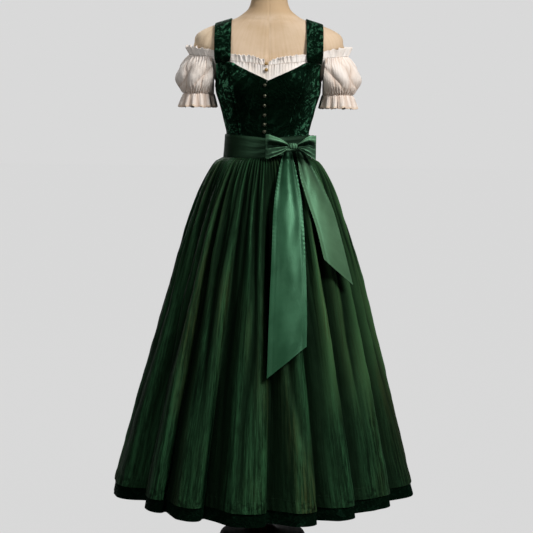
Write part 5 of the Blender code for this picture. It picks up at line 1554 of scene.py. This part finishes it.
@dataclass(frozen=True)
class SkirtForm:
    """Shape that the skirt and the apron share."""

    top: float = 1.1032
    hem: float = 0.927
    apron_hem: float = 0.8935
    half_waist: float = 0.138
    flare: float = 0.253
    hips: float = 0.055
    tuck: float = 0.014
    sections: dict[str, Curve] = field(default_factory=lambda: curves("roundness half_fold fold", (
        (0.000, 0.86, 0.000, 0.00), (0.030, 0.87, 0.002, 0.02), (0.070, 0.89, 0.005, 0.06),
        (0.130, 0.91, 0.009, 0.12), (0.220, 0.93, 0.013, 0.22), (0.350, 0.945, 0.015, 0.38),
        (0.520, 0.96, 0.013, 0.58), (0.720, 0.975, 0.007, 0.80), (0.930, 0.985, 0.003, 1.00),
    )))
    folds: tuple[Fold, ...] = tuple(Fold(*row) for row in (
        (-97.0, 0.044, 1.000, 0.80), (-64.0, 0.050, 0.935, 1.25), (-43.0, 0.026, 0.980, 1.30),
        (-24.0, 0.042, 1.010, 1.35), (2.5, 0.042, 1.000, 1.40), (21.5, 0.044, 0.955, 1.40),
        (40.0, 0.034, 0.900, 1.30), (68.0, 0.050, 1.000, 1.10), (98.0, 0.046, 0.985, 1.00),
        (119.0, 0.040, 0.960, 0.90), (139.0, 0.048, 0.985, 1.10), (160.0, 0.038, 1.000, 1.00),
        (182.0, 0.046, 0.990, 1.10), (203.0, 0.040, 0.975, 0.90), (223.0, 0.048, 0.960, 1.00),
        (243.0, 0.040, 0.985, 0.90),
    ))
    bands: tuple[Band, ...] = (
        Band(104, 71, 0.004, Curve((0.0, 0.03, 0.06, 0.11, 0.17), (0.0050, 0.0055, 0.0038, 0.0012, 0.0))),
        Band(54, 72, 0.007, Curve(
            (0.0, 0.03, 0.08, 0.14, 0.24, 0.38, 0.6), (0.0, 0.0030, 0.0080, 0.0085, 0.0055, 0.0020, 0.0))),
        Band(29, 73, 0.012, Curve(
            (0.0, 0.05, 0.12, 0.24, 0.42, 0.62, 0.9), (0.0, 0.0, 0.0060, 0.0125, 0.0120, 0.0070, 0.0035))),
    )
    overhang: float = 2.2

    def envelope(self, angle: Array, drop: Array, reach: Array | float = 1.0) -> Array:
        """Polar radius that the ridges reach, below the waist."""
        half = self.half_waist + self.flare * drop + self.hips * (1 - fading(drop, 0.110))
        half = half - self.tuck * fading(drop, 0.006)
        depth = half * self.sections["roundness"](drop)
        return rounded_radius(angle, half, depth, depth, np.array(2.0)) * (1 - (1 - reach) * drop / self.hem)

    def fold_at(self, angle: Array) -> tuple[Array, Array, Array, Array]:
        """Place in its fold from -1 to 1, the leaning place, the fold's depth and its ridge's reach."""
        valleys = np.array([fold.valley for fold in self.folds] + [self.folds[0].valley + 360.0])
        depths = np.array([fold.depth for fold in self.folds] + [self.folds[0].depth])
        wrapped = (angle - valleys[0]) % 360.0 + valleys[0]
        number = np.clip(np.searchsorted(valleys, wrapped, side="right") - 1, 0, len(self.folds) - 1)
        share = (wrapped - valleys[number]) / (valleys[number + 1] - valleys[number])
        depth = depths[number] + (depths[number + 1] - depths[number]) * blend(0.0, 1.0, share)
        ridges = (valleys[:-1] + valleys[1:]) / 2
        reach = np.interp(angle, ridges, [fold.reach for fold in self.folds], period=360.0)
        lean = np.array([fold.lean for fold in self.folds])[number]
        return 2 * share - 1, 2 * share ** (lean * 1.15) - 1, depth, reach

    def relief(self, angle: Array, drop: Array) -> tuple[Array, Array, Array, Array]:
        """How far the cloth falls back behind its ridges, how it leans, and where shade is painted.

        Args:
            angle: polar angles, one row.
            drop: distances below the waist, one column.

        Returns:
            Depth behind the ridges, their reach, the lean in degrees, and the painted shade of each place,
            from 0 to 1.
        """
        turn = np.radians(angle)
        wander = 1.1 * Sway(81, 1.0, 5.0)(turn, drop * 2.0) * blend(0.05, 0.5, drop)
        wander = wander * (1 - blend(0.75, 0.95, drop) * 0.6)
        place, leaning, depth, reach = self.fold_at(angle + wander)
        size = np.abs(leaning)
        fold = self.sections["fold"](drop)
        sharp = 1 - np.maximum(np.cos(size * np.pi / 2), 0.0) ** 0.8
        soft = blend(0.25, 1.0, size)
        hollow = fold**0.65 * depth * (0.5 * sharp + 0.5 * soft) * 1.12
        hollow = hollow + self.sections["half_fold"](drop) * (0.5 + 0.5 * np.cos(place * math.tau)) * 0.8
        # Painted shade: dark round each fold's valley, more widely to its right, and in the gathers' troughs.
        closed = np.maximum(np.exp(-(((1 + leaning) / 0.42) ** 1.6)), fading(1 - leaning, 0.09))
        unshaded = 1 - fold**0.35 * closed
        for band in self.bands:
            phase = band.count * turn + 2.6 * Sway(band.seed, 2.0, 12.0)(turn, drop * 1.2)
            phase = phase - 0.45 * (1 + np.cos(phase))
            trough = 1 - (0.5 + 0.5 * np.cos(phase)) ** 0.55
            hollow = hollow + band.depth(drop) * trough
            unshaded = unshaded * (1 - 0.9 * trough**1.3 * blend(0.0, band.full, band.depth(drop)))
        hollow = hollow + 0.0012 * (1 + Sway(85, 6.0, 40.0)(turn * 1.6, drop * 5.0)) * blend(0.02, 0.2, drop)
        shift = self.overhang * fold * (hump(leaning, 0.55, 0.30) - 0.5 * hump(size, 1.0, 0.25))
        return hollow, reach, shift, 1 - unshaded

    def surface(self, angle: Array, drop: Array, inward: Array | float = 0.0) -> Array:
        """Grid of points of the outermost cloth, or of a layer a distance inward."""
        hollow, reach, shift, _ = self.relief(angle, drop)
        radius = self.envelope(angle, drop, reach) - hollow - inward
        return polar(angle + shift, radius, self.top - drop)


@dataclass(frozen=True)
class SkirtAndApron:
    """Velvet skirt in two panels, and the taffeta apron over its front and sides."""

    form: SkirtForm
    apron_wall: float = 0.0018
    apron_gap: float = 0.0024
    skirt_wall: float = 0.0022
    start: float = -130.0
    end: float = 132.0
    left_seam: float = -91.3
    right_seam: float = 85.8
    seam_inset: float = 0.005
    flattening: float = 0.004
    stitch_line: float = 0.031

    def hidden(self, angle: Array) -> Array:
        """1 where the apron covers the skirt, 0 behind it."""
        wrapped = (angle + 180.0) % 360.0 - 180.0
        past_start = blend(self.start + 1.0, self.start + 8.0, wrapped)
        return past_start * (1 - blend(self.end - 8.0, self.end - 1.0, wrapped))

    def skirt(self) -> list[Piece]:
        """Skirt front and back, seamed at the sides."""
        made = []
        drop = self.form.hem * (1 - row_steps(0.0, 1.0, 48) ** 0.8)
        for node, start, end, width, area in (
            ("skirt_front", self.left_seam, self.right_seam, 1.50, 1.05),
            ("skirt_back", self.right_seam, self.left_seam + 360.0, 1.70, 1.15),
        ):
            beyond = (end - start) / 269 - self.seam_inset
            angle = column_steps(start - beyond, end + beyond, 272)
            covered = self.hidden(angle)
            flattened = covered * self.flattening * (1 - blend(0.80, 0.87, drop))
            rest = self.apron_wall + self.apron_gap + flattened
            outer = self.form.surface(angle, drop, rest)
            round_left = blend(200.0, 228.0, angle)[..., None]
            outer = outer + round_left * (self.form.surface(angle - 360.0, drop, rest) - outer)
            hem = hump(drop, self.form.hem, 0.004)
            outer = moved_out(outer, -0.0006 * hem * np.ones_like(angle), False)
            inner = moved_out(outer, -self.skirt_wall, False)
            inner[-1, :, 2] = outer[-1, :, 2]
            outer, inner = outer[:, 1:-1], inner[:, 1:-1]
            piece = sewn(node, outer, inner, Cloth.VELVET)
            made.append(piece.cut((width, 0.95), Held.GATHERED, ["sash_front", "form_body"], area))
        return made

    def apron(self) -> Piece:
        """Apron gathered into the sash, with a stitched hem that puckers slightly."""
        angle = column_steps(self.start, self.end, 620)
        steps = row_steps(0.0, 1.0, 70)
        drop = self.form.apron_hem * (1 - (0.72 * steps + 0.28 * blend(0.0, 1.0, steps)))
        outer = self.form.surface(angle, drop)
        # Painted shade from the folds and gathers, stronger near the waist.
        painted_shade = 1 - (1 - self.form.relief(angle, drop)[3]) ** (2.1 + 1.6 * fading(drop, 0.16))
        turn = np.radians(angle)
        above = self.form.apron_hem - drop
        ripple = np.sin(150 * turn + 60 * above + 2.5 * Sway(91, 6.0, 40.0)(turn))
        hem = 0.0011 * ripple * hump(above, 0.018, 0.016)
        drawn_in = -0.0007 * hump(above, self.stitch_line, 0.0035)
        sides = fading(angle - self.start, 0.6) + fading(self.end - angle, 0.6)
        outer = moved_out(outer, hem + drawn_in + 0.0010 * np.minimum(sides, 1.0), False)
        inner = moved_out(outer, -self.apron_wall, False)
        outer[-1, :, 2] = inner[-1, :, 2] = self.form.top
        face = moved_out(outer, STITCH_LIFT, False)
        row = int(np.argmin(np.abs(above - self.stitch_line)))
        line = np.concatenate([face[:row - 1:-1, 2], face[row, 2:-2], face[row:, -3]])
        stitches = Stitching(DARK_THREAD, thickness=0.0004).along("apron_stitches", [line])
        piece = sewn("apron", outer, inner, Cloth.TAFFETA, shaded=painted_shade)
        under = ["skirt_front", "skirt_back", "sash_front"]
        return piece.cut((2.0, 0.92), Held.GATHERED, under, sewn_on=[stitches])


# ---------------------------------------------------------------- sash, bow and tails


class Ribbon(NamedTuple):
    """A bow loop from its knot end outwards: both edges, and how its two layers lie."""

    x: float
    top: float
    bottom: float
    front_y: float
    back_y: float


class TailEdge(NamedTuple):
    """A tail from its knot end down: where its left and right edges are."""

    left_x: float
    left_z: float
    right_x: float
    right_z: float


@dataclass(frozen=True)
class SashAndBow:
    """Satin sash, and the bow in front with its two tails."""

    figure: Figure
    form: SkirtForm
    wall: float = 0.0015
    sash_bottom: float = 1.1035
    sash_top: float = 1.157
    tail_gap: float = 0.0065
    tail_root_y: float = -0.1235
    knot_power: float = 2.6
    knot_centre: Point = (0.068, -0.124, 1.1370)
    knot_half: Point = (0.0125, 0.0095, 0.0085)
    left: tuple[Ribbon, ...] = tuple(Ribbon(*row) for row in (
        (0.0545, 1.1430, 1.1310, -0.1260, -0.1175), (0.0450, 1.1500, 1.1235, -0.1330, -0.1150),
        (0.0310, 1.1575, 1.1155, -0.1380, -0.1135), (0.0150, 1.1640, 1.1080, -0.1370, -0.1130),
        (0.0020, 1.1670, 1.1045, -0.1310, -0.1150), (-0.0050, 1.1670, 1.1045, -0.1225, -0.1190),
    ))
    right: tuple[Ribbon, ...] = tuple(Ribbon(*row) for row in (
        (0.0815, 1.1430, 1.1310, -0.1250, -0.1165), (0.0900, 1.1500, 1.1260, -0.1310, -0.1110),
        (0.1010, 1.1585, 1.1190, -0.1320, -0.1050), (0.1140, 1.1645, 1.1110, -0.1280, -0.0990),
        (0.1240, 1.1665, 1.1035, -0.1180, -0.0960), (0.1300, 1.1650, 1.1015, -0.1060, -0.1000),
    ))
    long_tail: tuple[TailEdge, ...] = tuple(TailEdge(*row) for row in (
        (0.0440, 1.1225, 0.0640, 1.1225), (0.0340, 1.0880, 0.0760, 1.0780),
        (0.0265, 1.0450, 0.0860, 1.0300), (0.0205, 1.0000, 0.0930, 0.9880),
        (0.0166, 0.9390, 0.0985, 0.9250), (0.0150, 0.8680, 0.1030, 0.8500),
        (0.0115, 0.7610, 0.1070, 0.7600), (0.0086, 0.6530, 0.1085, 0.6900),
        (0.0060, 0.5450, 0.1080, 0.6238),
    ))
    short_tail: tuple[TailEdge, ...] = tuple(TailEdge(*row) for row in (
        (0.0750, 1.1225, 0.0960, 1.1225), (0.0830, 1.0900, 0.1180, 1.0880),
        (0.0880, 1.0570, 0.1380, 1.0530), (0.0970, 1.0257, 0.1580, 1.0140),
        (0.1110, 0.9830, 0.1770, 0.9720), (0.1300, 0.9300, 0.1990, 0.8990),
        (0.1530, 0.8425, 0.2330, 0.7706),
    ))

    def sash(self) -> list[Piece]:
        """Sash over the waist, creased towards the knot."""
        made = []
        for node, start, columns in (("sash_front", -90.0, 220), ("sash_back", 90.0, 110)):
            angle = column_steps(start + 0.08, start + 179.92, columns)
            rise = row_steps(0.0, 1.0, 30)
            top = self.sash_top + 0.0095 * np.abs(np.sin(np.radians(angle)))
            z = self.sash_bottom + (top - self.sash_bottom) * rise
            near = hump(both_sides(angle) * np.sign(180.0 - angle % 360.0), 30.0, 55.0)
            spread = (rise - 0.5) / (1.0 - 0.45 * near)
            turn = np.radians(angle)
            folds = np.sin(spread * 15.0 + 1.3 * Sway(101, 1.5, 7.0)(turn)) * (0.4 + 0.6 * near)
            small = np.sin(spread * 37.0 + 2.0 * Sway(102, 3.0, 14.0)(turn)) * 0.4
            inside = blend(0.0, 0.10, rise) * blend(0.0, 0.10, 1 - rise)
            lift = 0.0010 * (folds + 0.6 * small) * inside * (0.12 + 0.88 * near) + 0.0004
            hem = -0.0006 * (1 - inside)
            radius = self.figure.radius(angle, z) + self.figure.sash
            outer, inner = polar(angle, radius + lift + hem, z), polar(angle, radius - self.wall, z)
            lifted = moved_out(outer, STITCH_LIFT, False)
            stitches = HEM_STITCHES.along(f"{node}_stitches", [lifted[2], lifted[-3]])
            # Painted shade on the sash behind the bow, and along its lower edge.
            by_knot = np.exp(-(((outer[..., 0] - self.knot_centre[0]) / 0.032) ** 4))
            behind = by_knot * blend(0.40, 0.62, rise) * (outer[..., 1] < 0)
            painted_shade = np.maximum(0.96 * behind, 0.75 * (1 - blend(0.0, 0.13, rise)))
            piece = sewn(node, outer, inner, Cloth.SASH, shaded=painted_shade)
            under = ["bodice_back", "bodice_front_left", "bodice_front_right"]
            made.append(piece.cut((0.37, 0.065), Held.STRETCHED, under, sewn_on=[stitches]))
        return made

    def loop(self, node: str, sections: Sequence[Ribbon], seed: int) -> Piece:
        """Loop of one ribbon laid double, gathered into the knot, with creases that run out from it."""
        fronts = [(place.x, place.top, place.bottom, place.front_y) for place in sections]
        backs = [(place.x, place.top, place.bottom, place.back_y) for place in reversed(sections)]
        count = len(sections)
        steps = tuple(range(2 * count))
        x, top, bottom, y = (Curve(steps, values) for values in zip(*fronts, *backs))
        along = column_steps(0, 2 * count - 1, 110)
        rise = row_steps(0.0, 1.0, 36)
        out = np.minimum(along, 2 * count - 1 - along) / (count - 1)
        in_front = 1 - blend(count - 1.2, count - 0.2, along)
        swing = 0.5 + 0.5 * np.cos(rise * math.tau)
        lobes = 0.0070 * (hump(rise, 0.20, 0.15) + 1.1 * hump(rise, 0.78, 0.15))
        lobes = lobes - 0.0100 * hump(rise, 0.56, 0.13)
        pleats = np.abs(np.sin(rise * 14.5 + 0.7 * Sway(seed, 1.5, 6.0)(out * 2.0)))
        creases = -0.0024 * pleats * (1 - 0.9 * out) * blend(0.0, 0.12, out)
        creases = creases + 0.0007 * Sway(seed + 1, 6.0, 20.0)(out * 2.5, rise * 1.6)
        # Painted highlight and shade: pale on the pleats' ridges and the rims, dark in the well, between
        # pleats and on the back layer.
        well = hump(rise, 0.58, 0.10 + 0.05 * out) * blend(0.03, 0.16, out) * (1 - blend(0.62, 0.92, out))
        ridges = fading(pleats, 0.20) * (1 - 0.70 * out) * blend(0.0, 0.10, out)
        rim = np.maximum(fading(1 - rise, 0.06), 0.7 * fading(rise, 0.06))
        painted_shade = 0.84 - ridges - 0.72 * rim + 0.20 * pleats**2 * (1 - out)
        painted_shade = painted_shade + 1.2 * well - 0.40 * hump(rise, 0.80, 0.12) * out
        painted_shade = np.clip(painted_shade, 0.0, 0.98) * in_front + 0.85 * (1 - in_front)
        domed = lobes * np.sin(np.pi * np.clip(out * 0.82 + 0.12, 0, 1))
        forward = in_front * (domed + creases) - 0.0006 * swing
        z = bottom(along) + (top(along) - bottom(along)) * rise
        edge = 0.0012 * np.sin(along * 2.4 + seed) * (2 * rise - 1) * out
        grid = grid_of(x(along), y(along) - forward, z + edge)
        flipped = grid_normals(grid, False)[18, 6, 1] > 0
        inner = moved_out(grid, self.wall if flipped else -self.wall, False)
        order = slice(None, None, -1) if flipped else slice(None)
        piece = sewn(node, grid[:, order], inner[:, order], Cloth.BOW, shaded=painted_shade[:, order])
        return piece.cut((0.155, 0.075), Held.FOLDED, ["bow_knot", "sash_front"], 0.0075)

    def knot(self) -> Piece:
        """Knot: cloth wrapped round the roots of the loops, with soft upright folds."""
        turn = round_steps(72)
        level = row_steps(-0.97, 0.97, 30)
        width = (1 - np.abs(level) ** self.knot_power) ** (1 / self.knot_power)
        fold = np.cos(turn * 9 + 1.1 * level)
        folds = 1 + 0.07 * fold * (1 - 0.5 * np.abs(level))
        centre, half = np.array(self.knot_centre), np.array(self.knot_half)
        offset = grid_of(np.cos(turn) * width * folds, np.sin(turn) * width * folds, level)
        outer = centre + offset * half
        inner = moved_out(outer, -self.wall, True)
        inner[0, :, 2], inner[-1, :, 2] = outer[0, :, 2], outer[-1, :, 2]
        # Painted shade between the upright folds.
        painted_shade = 0.40 + 0.50 * (0.5 - 0.5 * fold)
        piece = sewn("bow_knot", outer, inner, Cloth.BOW, closed=True, shaded=painted_shade)
        return piece.cut((0.065, 0.022), Held.FOLDED, ["bow_loop_left", "bow_loop_right"])

    def tail_surface(self, x: Array, z: Array) -> Array:
        """Points in front of the apron's ridges, or below the knot above them."""
        drop = np.maximum(self.form.top - z, 0.0)
        angle = np.zeros(np.broadcast(x, z).shape)
        for _ in range(PASSES):
            radius = self.form.envelope(angle, drop, 1.01) + self.tail_gap
            angle = np.degrees(np.arcsin(np.minimum(x / radius, 0.999)))
        y = -radius * np.cos(np.radians(angle))
        rise = blend(self.form.top - 0.030, self.form.top + 0.020, z)
        y = y + (np.minimum(self.tail_root_y, y) - y) * rise
        return grid_of(x, y, z)

    def tail(
        self, node: str, sections: Sequence[TailEdge], seed: int,
        flat: Pair, area: float, cloth: Cloth,
    ) -> Piece:
        """Tail that hangs from the knot, folded at the top, with puckered hems down both sides."""
        places = tuple(np.linspace(0.0, 1.0, len(sections)))
        left_x, left_z, right_x, right_z = (Curve(places, values) for values in zip(*sections))
        down = row_steps(1.0, 0.0, 170)
        across = column_steps(0.0, 1.0, 38)
        x = left_x(down) + (right_x(down) - left_x(down)) * across
        z = left_z(down) + (right_z(down) - left_z(down)) * across
        length = np.concatenate([[0.0], np.cumsum(np.hypot(np.diff(x[:, 0]), np.diff(z[:, 0])))])[:, None]
        side = np.minimum(across, 1 - across)
        wander = 2.0 * Sway(seed, 8.0, 60.0)(length)
        pucker = np.sin(length * math.tau / 0.0105 + wander + 3.0 * (across > 0.5))
        hem = 0.0008 * pucker * fading(side, 0.050)
        draw = -0.0006 * hump(side, 0.12, 0.035)
        centre = 0.50 + 0.06 * Sway(seed + 1, 1.5, 5.0)(down)
        right_crease, left_crease = centre + 0.30, centre - 0.33
        ridge = hump(across, centre, 0.24) - 0.75 * hump(across, right_crease, 0.09)
        ridge = ridge - 0.45 * hump(across, left_crease, 0.07)
        folds = 0.0080 * ridge * fading(down, 0.34) * blend(0.0, 0.05, down)
        # Painted shade in the two creases and below the knot, stronger on the short tail.
        creased = 0.85 * hump(across, right_crease, 0.10) + 0.70 * hump(across, left_crease, 0.09)
        painted_shade = creased * fading(down, 0.30) + 0.75 * fading(down, 0.035)
        in_shade = 0.70 * fading(down, 0.30) if cloth is Cloth.TAIL else 0.30 * fading(down, 0.10)
        painted_shade = np.clip(painted_shade + in_shade, 0.0, 0.95)
        slow = 0.0022 * Sway(seed + 2, 2.0, 9.0)(across * 1.5, down * 3.0) * blend(0.1, 0.5, down)
        base = 0.0045 * (1 - down) * np.sin(across * np.pi) ** 2
        forward = base + folds + slow + hem + draw + 0.0015
        grid = self.tail_surface(x, z)
        grid[..., 1] -= np.broadcast_to(forward, grid.shape[:2])
        inner = moved_out(grid, -self.wall, False)
        face = moved_out(grid, STITCH_LIFT, False)
        inset = round(0.10 * grid.shape[1])
        line = np.concatenate([face[:2:-1, inset], face[3, inset:-inset], face[3:, -inset - 1]])
        stitches = HEM_STITCHES.along(f"{node}_stitches", [line])
        piece = sewn(node, grid, inner, cloth, shaded=painted_shade)
        return piece.cut(flat, Held.HUNG, ["bow_knot", "apron"], area, [stitches])

    def bow(self) -> list[Piece]:
        """Knot, two loops and two tails."""
        return [
            self.knot(),
            self.loop("bow_loop_left", self.left, 111),
            self.loop("bow_loop_right", self.right, 121),
            self.tail("tail_long", self.long_tail, 131, (0.11, 0.60), 0.046, Cloth.SATIN),
            self.tail("tail_short", self.short_tail, 141, (0.10, 0.36), 0.022, Cloth.TAIL),
        ]


# ---------------------------------------------------------------- studio


@dataclass(frozen=True)
class Studio:
    """Camera, pale floor and soft lights."""

    focal: float = 1527.0
    pixels: float = 533.0
    pitch: float = 5.29
    roll: float = 0.75
    place: Point = (0.0016, -4.2, 1.192)
    aim: Point = (0.0, 0.0, 0.9)
    pale: float = 0.694
    ambient: float = 0.05

    def camera(self) -> None:
        """Camera at the front, looking slightly down."""
        lens = bpy.data.cameras.new("camera")
        lens.sensor_width = 36.0
        lens.lens = 36.0 * self.focal / self.pixels
        pitch, roll = math.radians(self.pitch), math.radians(self.roll)
        ahead = Vector((0, math.cos(pitch), -math.sin(pitch)))
        right = Vector((1, 0, 0))
        up = right.cross(ahead)
        across = right * math.cos(roll) + up * math.sin(roll)
        above = up * math.cos(roll) - right * math.sin(roll)
        matrix = Matrix((across, above, -ahead)).transposed().to_4x4()
        matrix.translation = Vector(self.place)
        made = linked("camera", lens)
        made.matrix_world = matrix
        bpy.context.scene.camera = made

    def soft_light(self, name: str, place: Point, size: float, power: float, tint: Point) -> None:
        """Square soft light aimed at the dress."""
        lamp = bpy.data.lights.new(name, "AREA")
        lamp.size = size
        lamp.energy = power
        lamp.color = tint
        made = linked(name, lamp)
        made.location = place
        made.rotation_euler = (Vector(self.aim) - Vector(place)).to_track_quat("-Z", "Y").to_euler()

    def surroundings(self) -> None:
        """Plain pale room light and floor."""
        scene = bpy.context.scene
        scene.view_settings.view_transform = "Standard"
        world = bpy.data.worlds.new("studio")
        scene.world = world
        world.use_nodes = True
        tree = Tree(world.node_tree)
        seen = tree.add("ShaderNodeLightPath").outputs["Is Camera Ray"]
        level = tree.plus(tree.times(seen, self.pale - self.ambient), self.ambient)
        tree.feed(world.node_tree.nodes["Background"], {"Color": colour(1.0, 1.0, 1.0), "Strength": level})
        plane = bpy.data.meshes.new("floor")
        plane.from_pydata([(-40, -40, 0), (40, -40, 0), (40, 40, 0), (-40, 40, 0)], [], [(0, 1, 2, 3)])
        made = linked("floor", plane)
        surface = bpy.data.materials.new("floor_paper")
        surface.use_nodes = True
        tree = Tree(surface.node_tree)
        shader = surface.node_tree.nodes["Principled BSDF"]
        matt = {"Base Color": colour(0.12, 0.12, 0.12), "Roughness": 1.0, "Specular IOR Level": 0.0}
        tree.feed(shader, matt)
        shining = {"Color": colour(1.0, 1.0, 1.0), "Strength": self.pale * 1.022}
        flat = tree.first("ShaderNodeEmission", shining)
        seen = tree.add("ShaderNodeLightPath").outputs["Is Camera Ray"]
        sockets = {0: tree.times(seen, 0.97), 1: shader.outputs[0], 2: flat}
        both = tree.first("ShaderNodeMixShader", sockets)
        tree.feed(surface.node_tree.nodes["Material Output"], {"Surface": both})
        plane.materials.append(surface)

    def lights(self) -> None:
        """Key from above on the right, weak fill from the left, and a soft light behind."""
        self.soft_light("key_light", (2.7, -2.6, 3.9), 1.2, 250.0, (1.0, 0.985, 0.96))
        self.soft_light("fill_light", (-2.4, -3.8, 3.0), 1.6, 62.0, (1.0, 0.99, 0.975))
        self.soft_light("back_light", (-1.5, 3.4, 3.0), 2.4, 120.0, (1.0, 1.0, 1.0))

    def build(self) -> None:
        """Set up the whole studio."""
        self.camera()
        self.surroundings()
        self.lights()


def main() -> None:
    """Build the studio, then the dress from the form outwards."""
    logging.basicConfig(level=logging.INFO, format="%(name)s %(message)s")
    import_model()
    Studio().build()
    figure = Figure()
    bodice = Bodice(figure)
    form = SkirtForm()
    stand = FormStand(figure)
    stand.body()
    stand.stand()
    blouse = Blouse(figure, bodice)
    blouse.body()
    blouse.ruffle()
    blouse.sleeves()
    blouse.cuffs()
    bodice.panels()
    bodice.straps()
    blouse.buttons()
    bodice.buttons()
    skirt = SkirtAndApron(form)
    skirt.skirt()
    skirt.apron()
    sash = SashAndBow(figure, form)
    sash.sash()
    sash.bow()


if __name__ == "__main__":
    main()
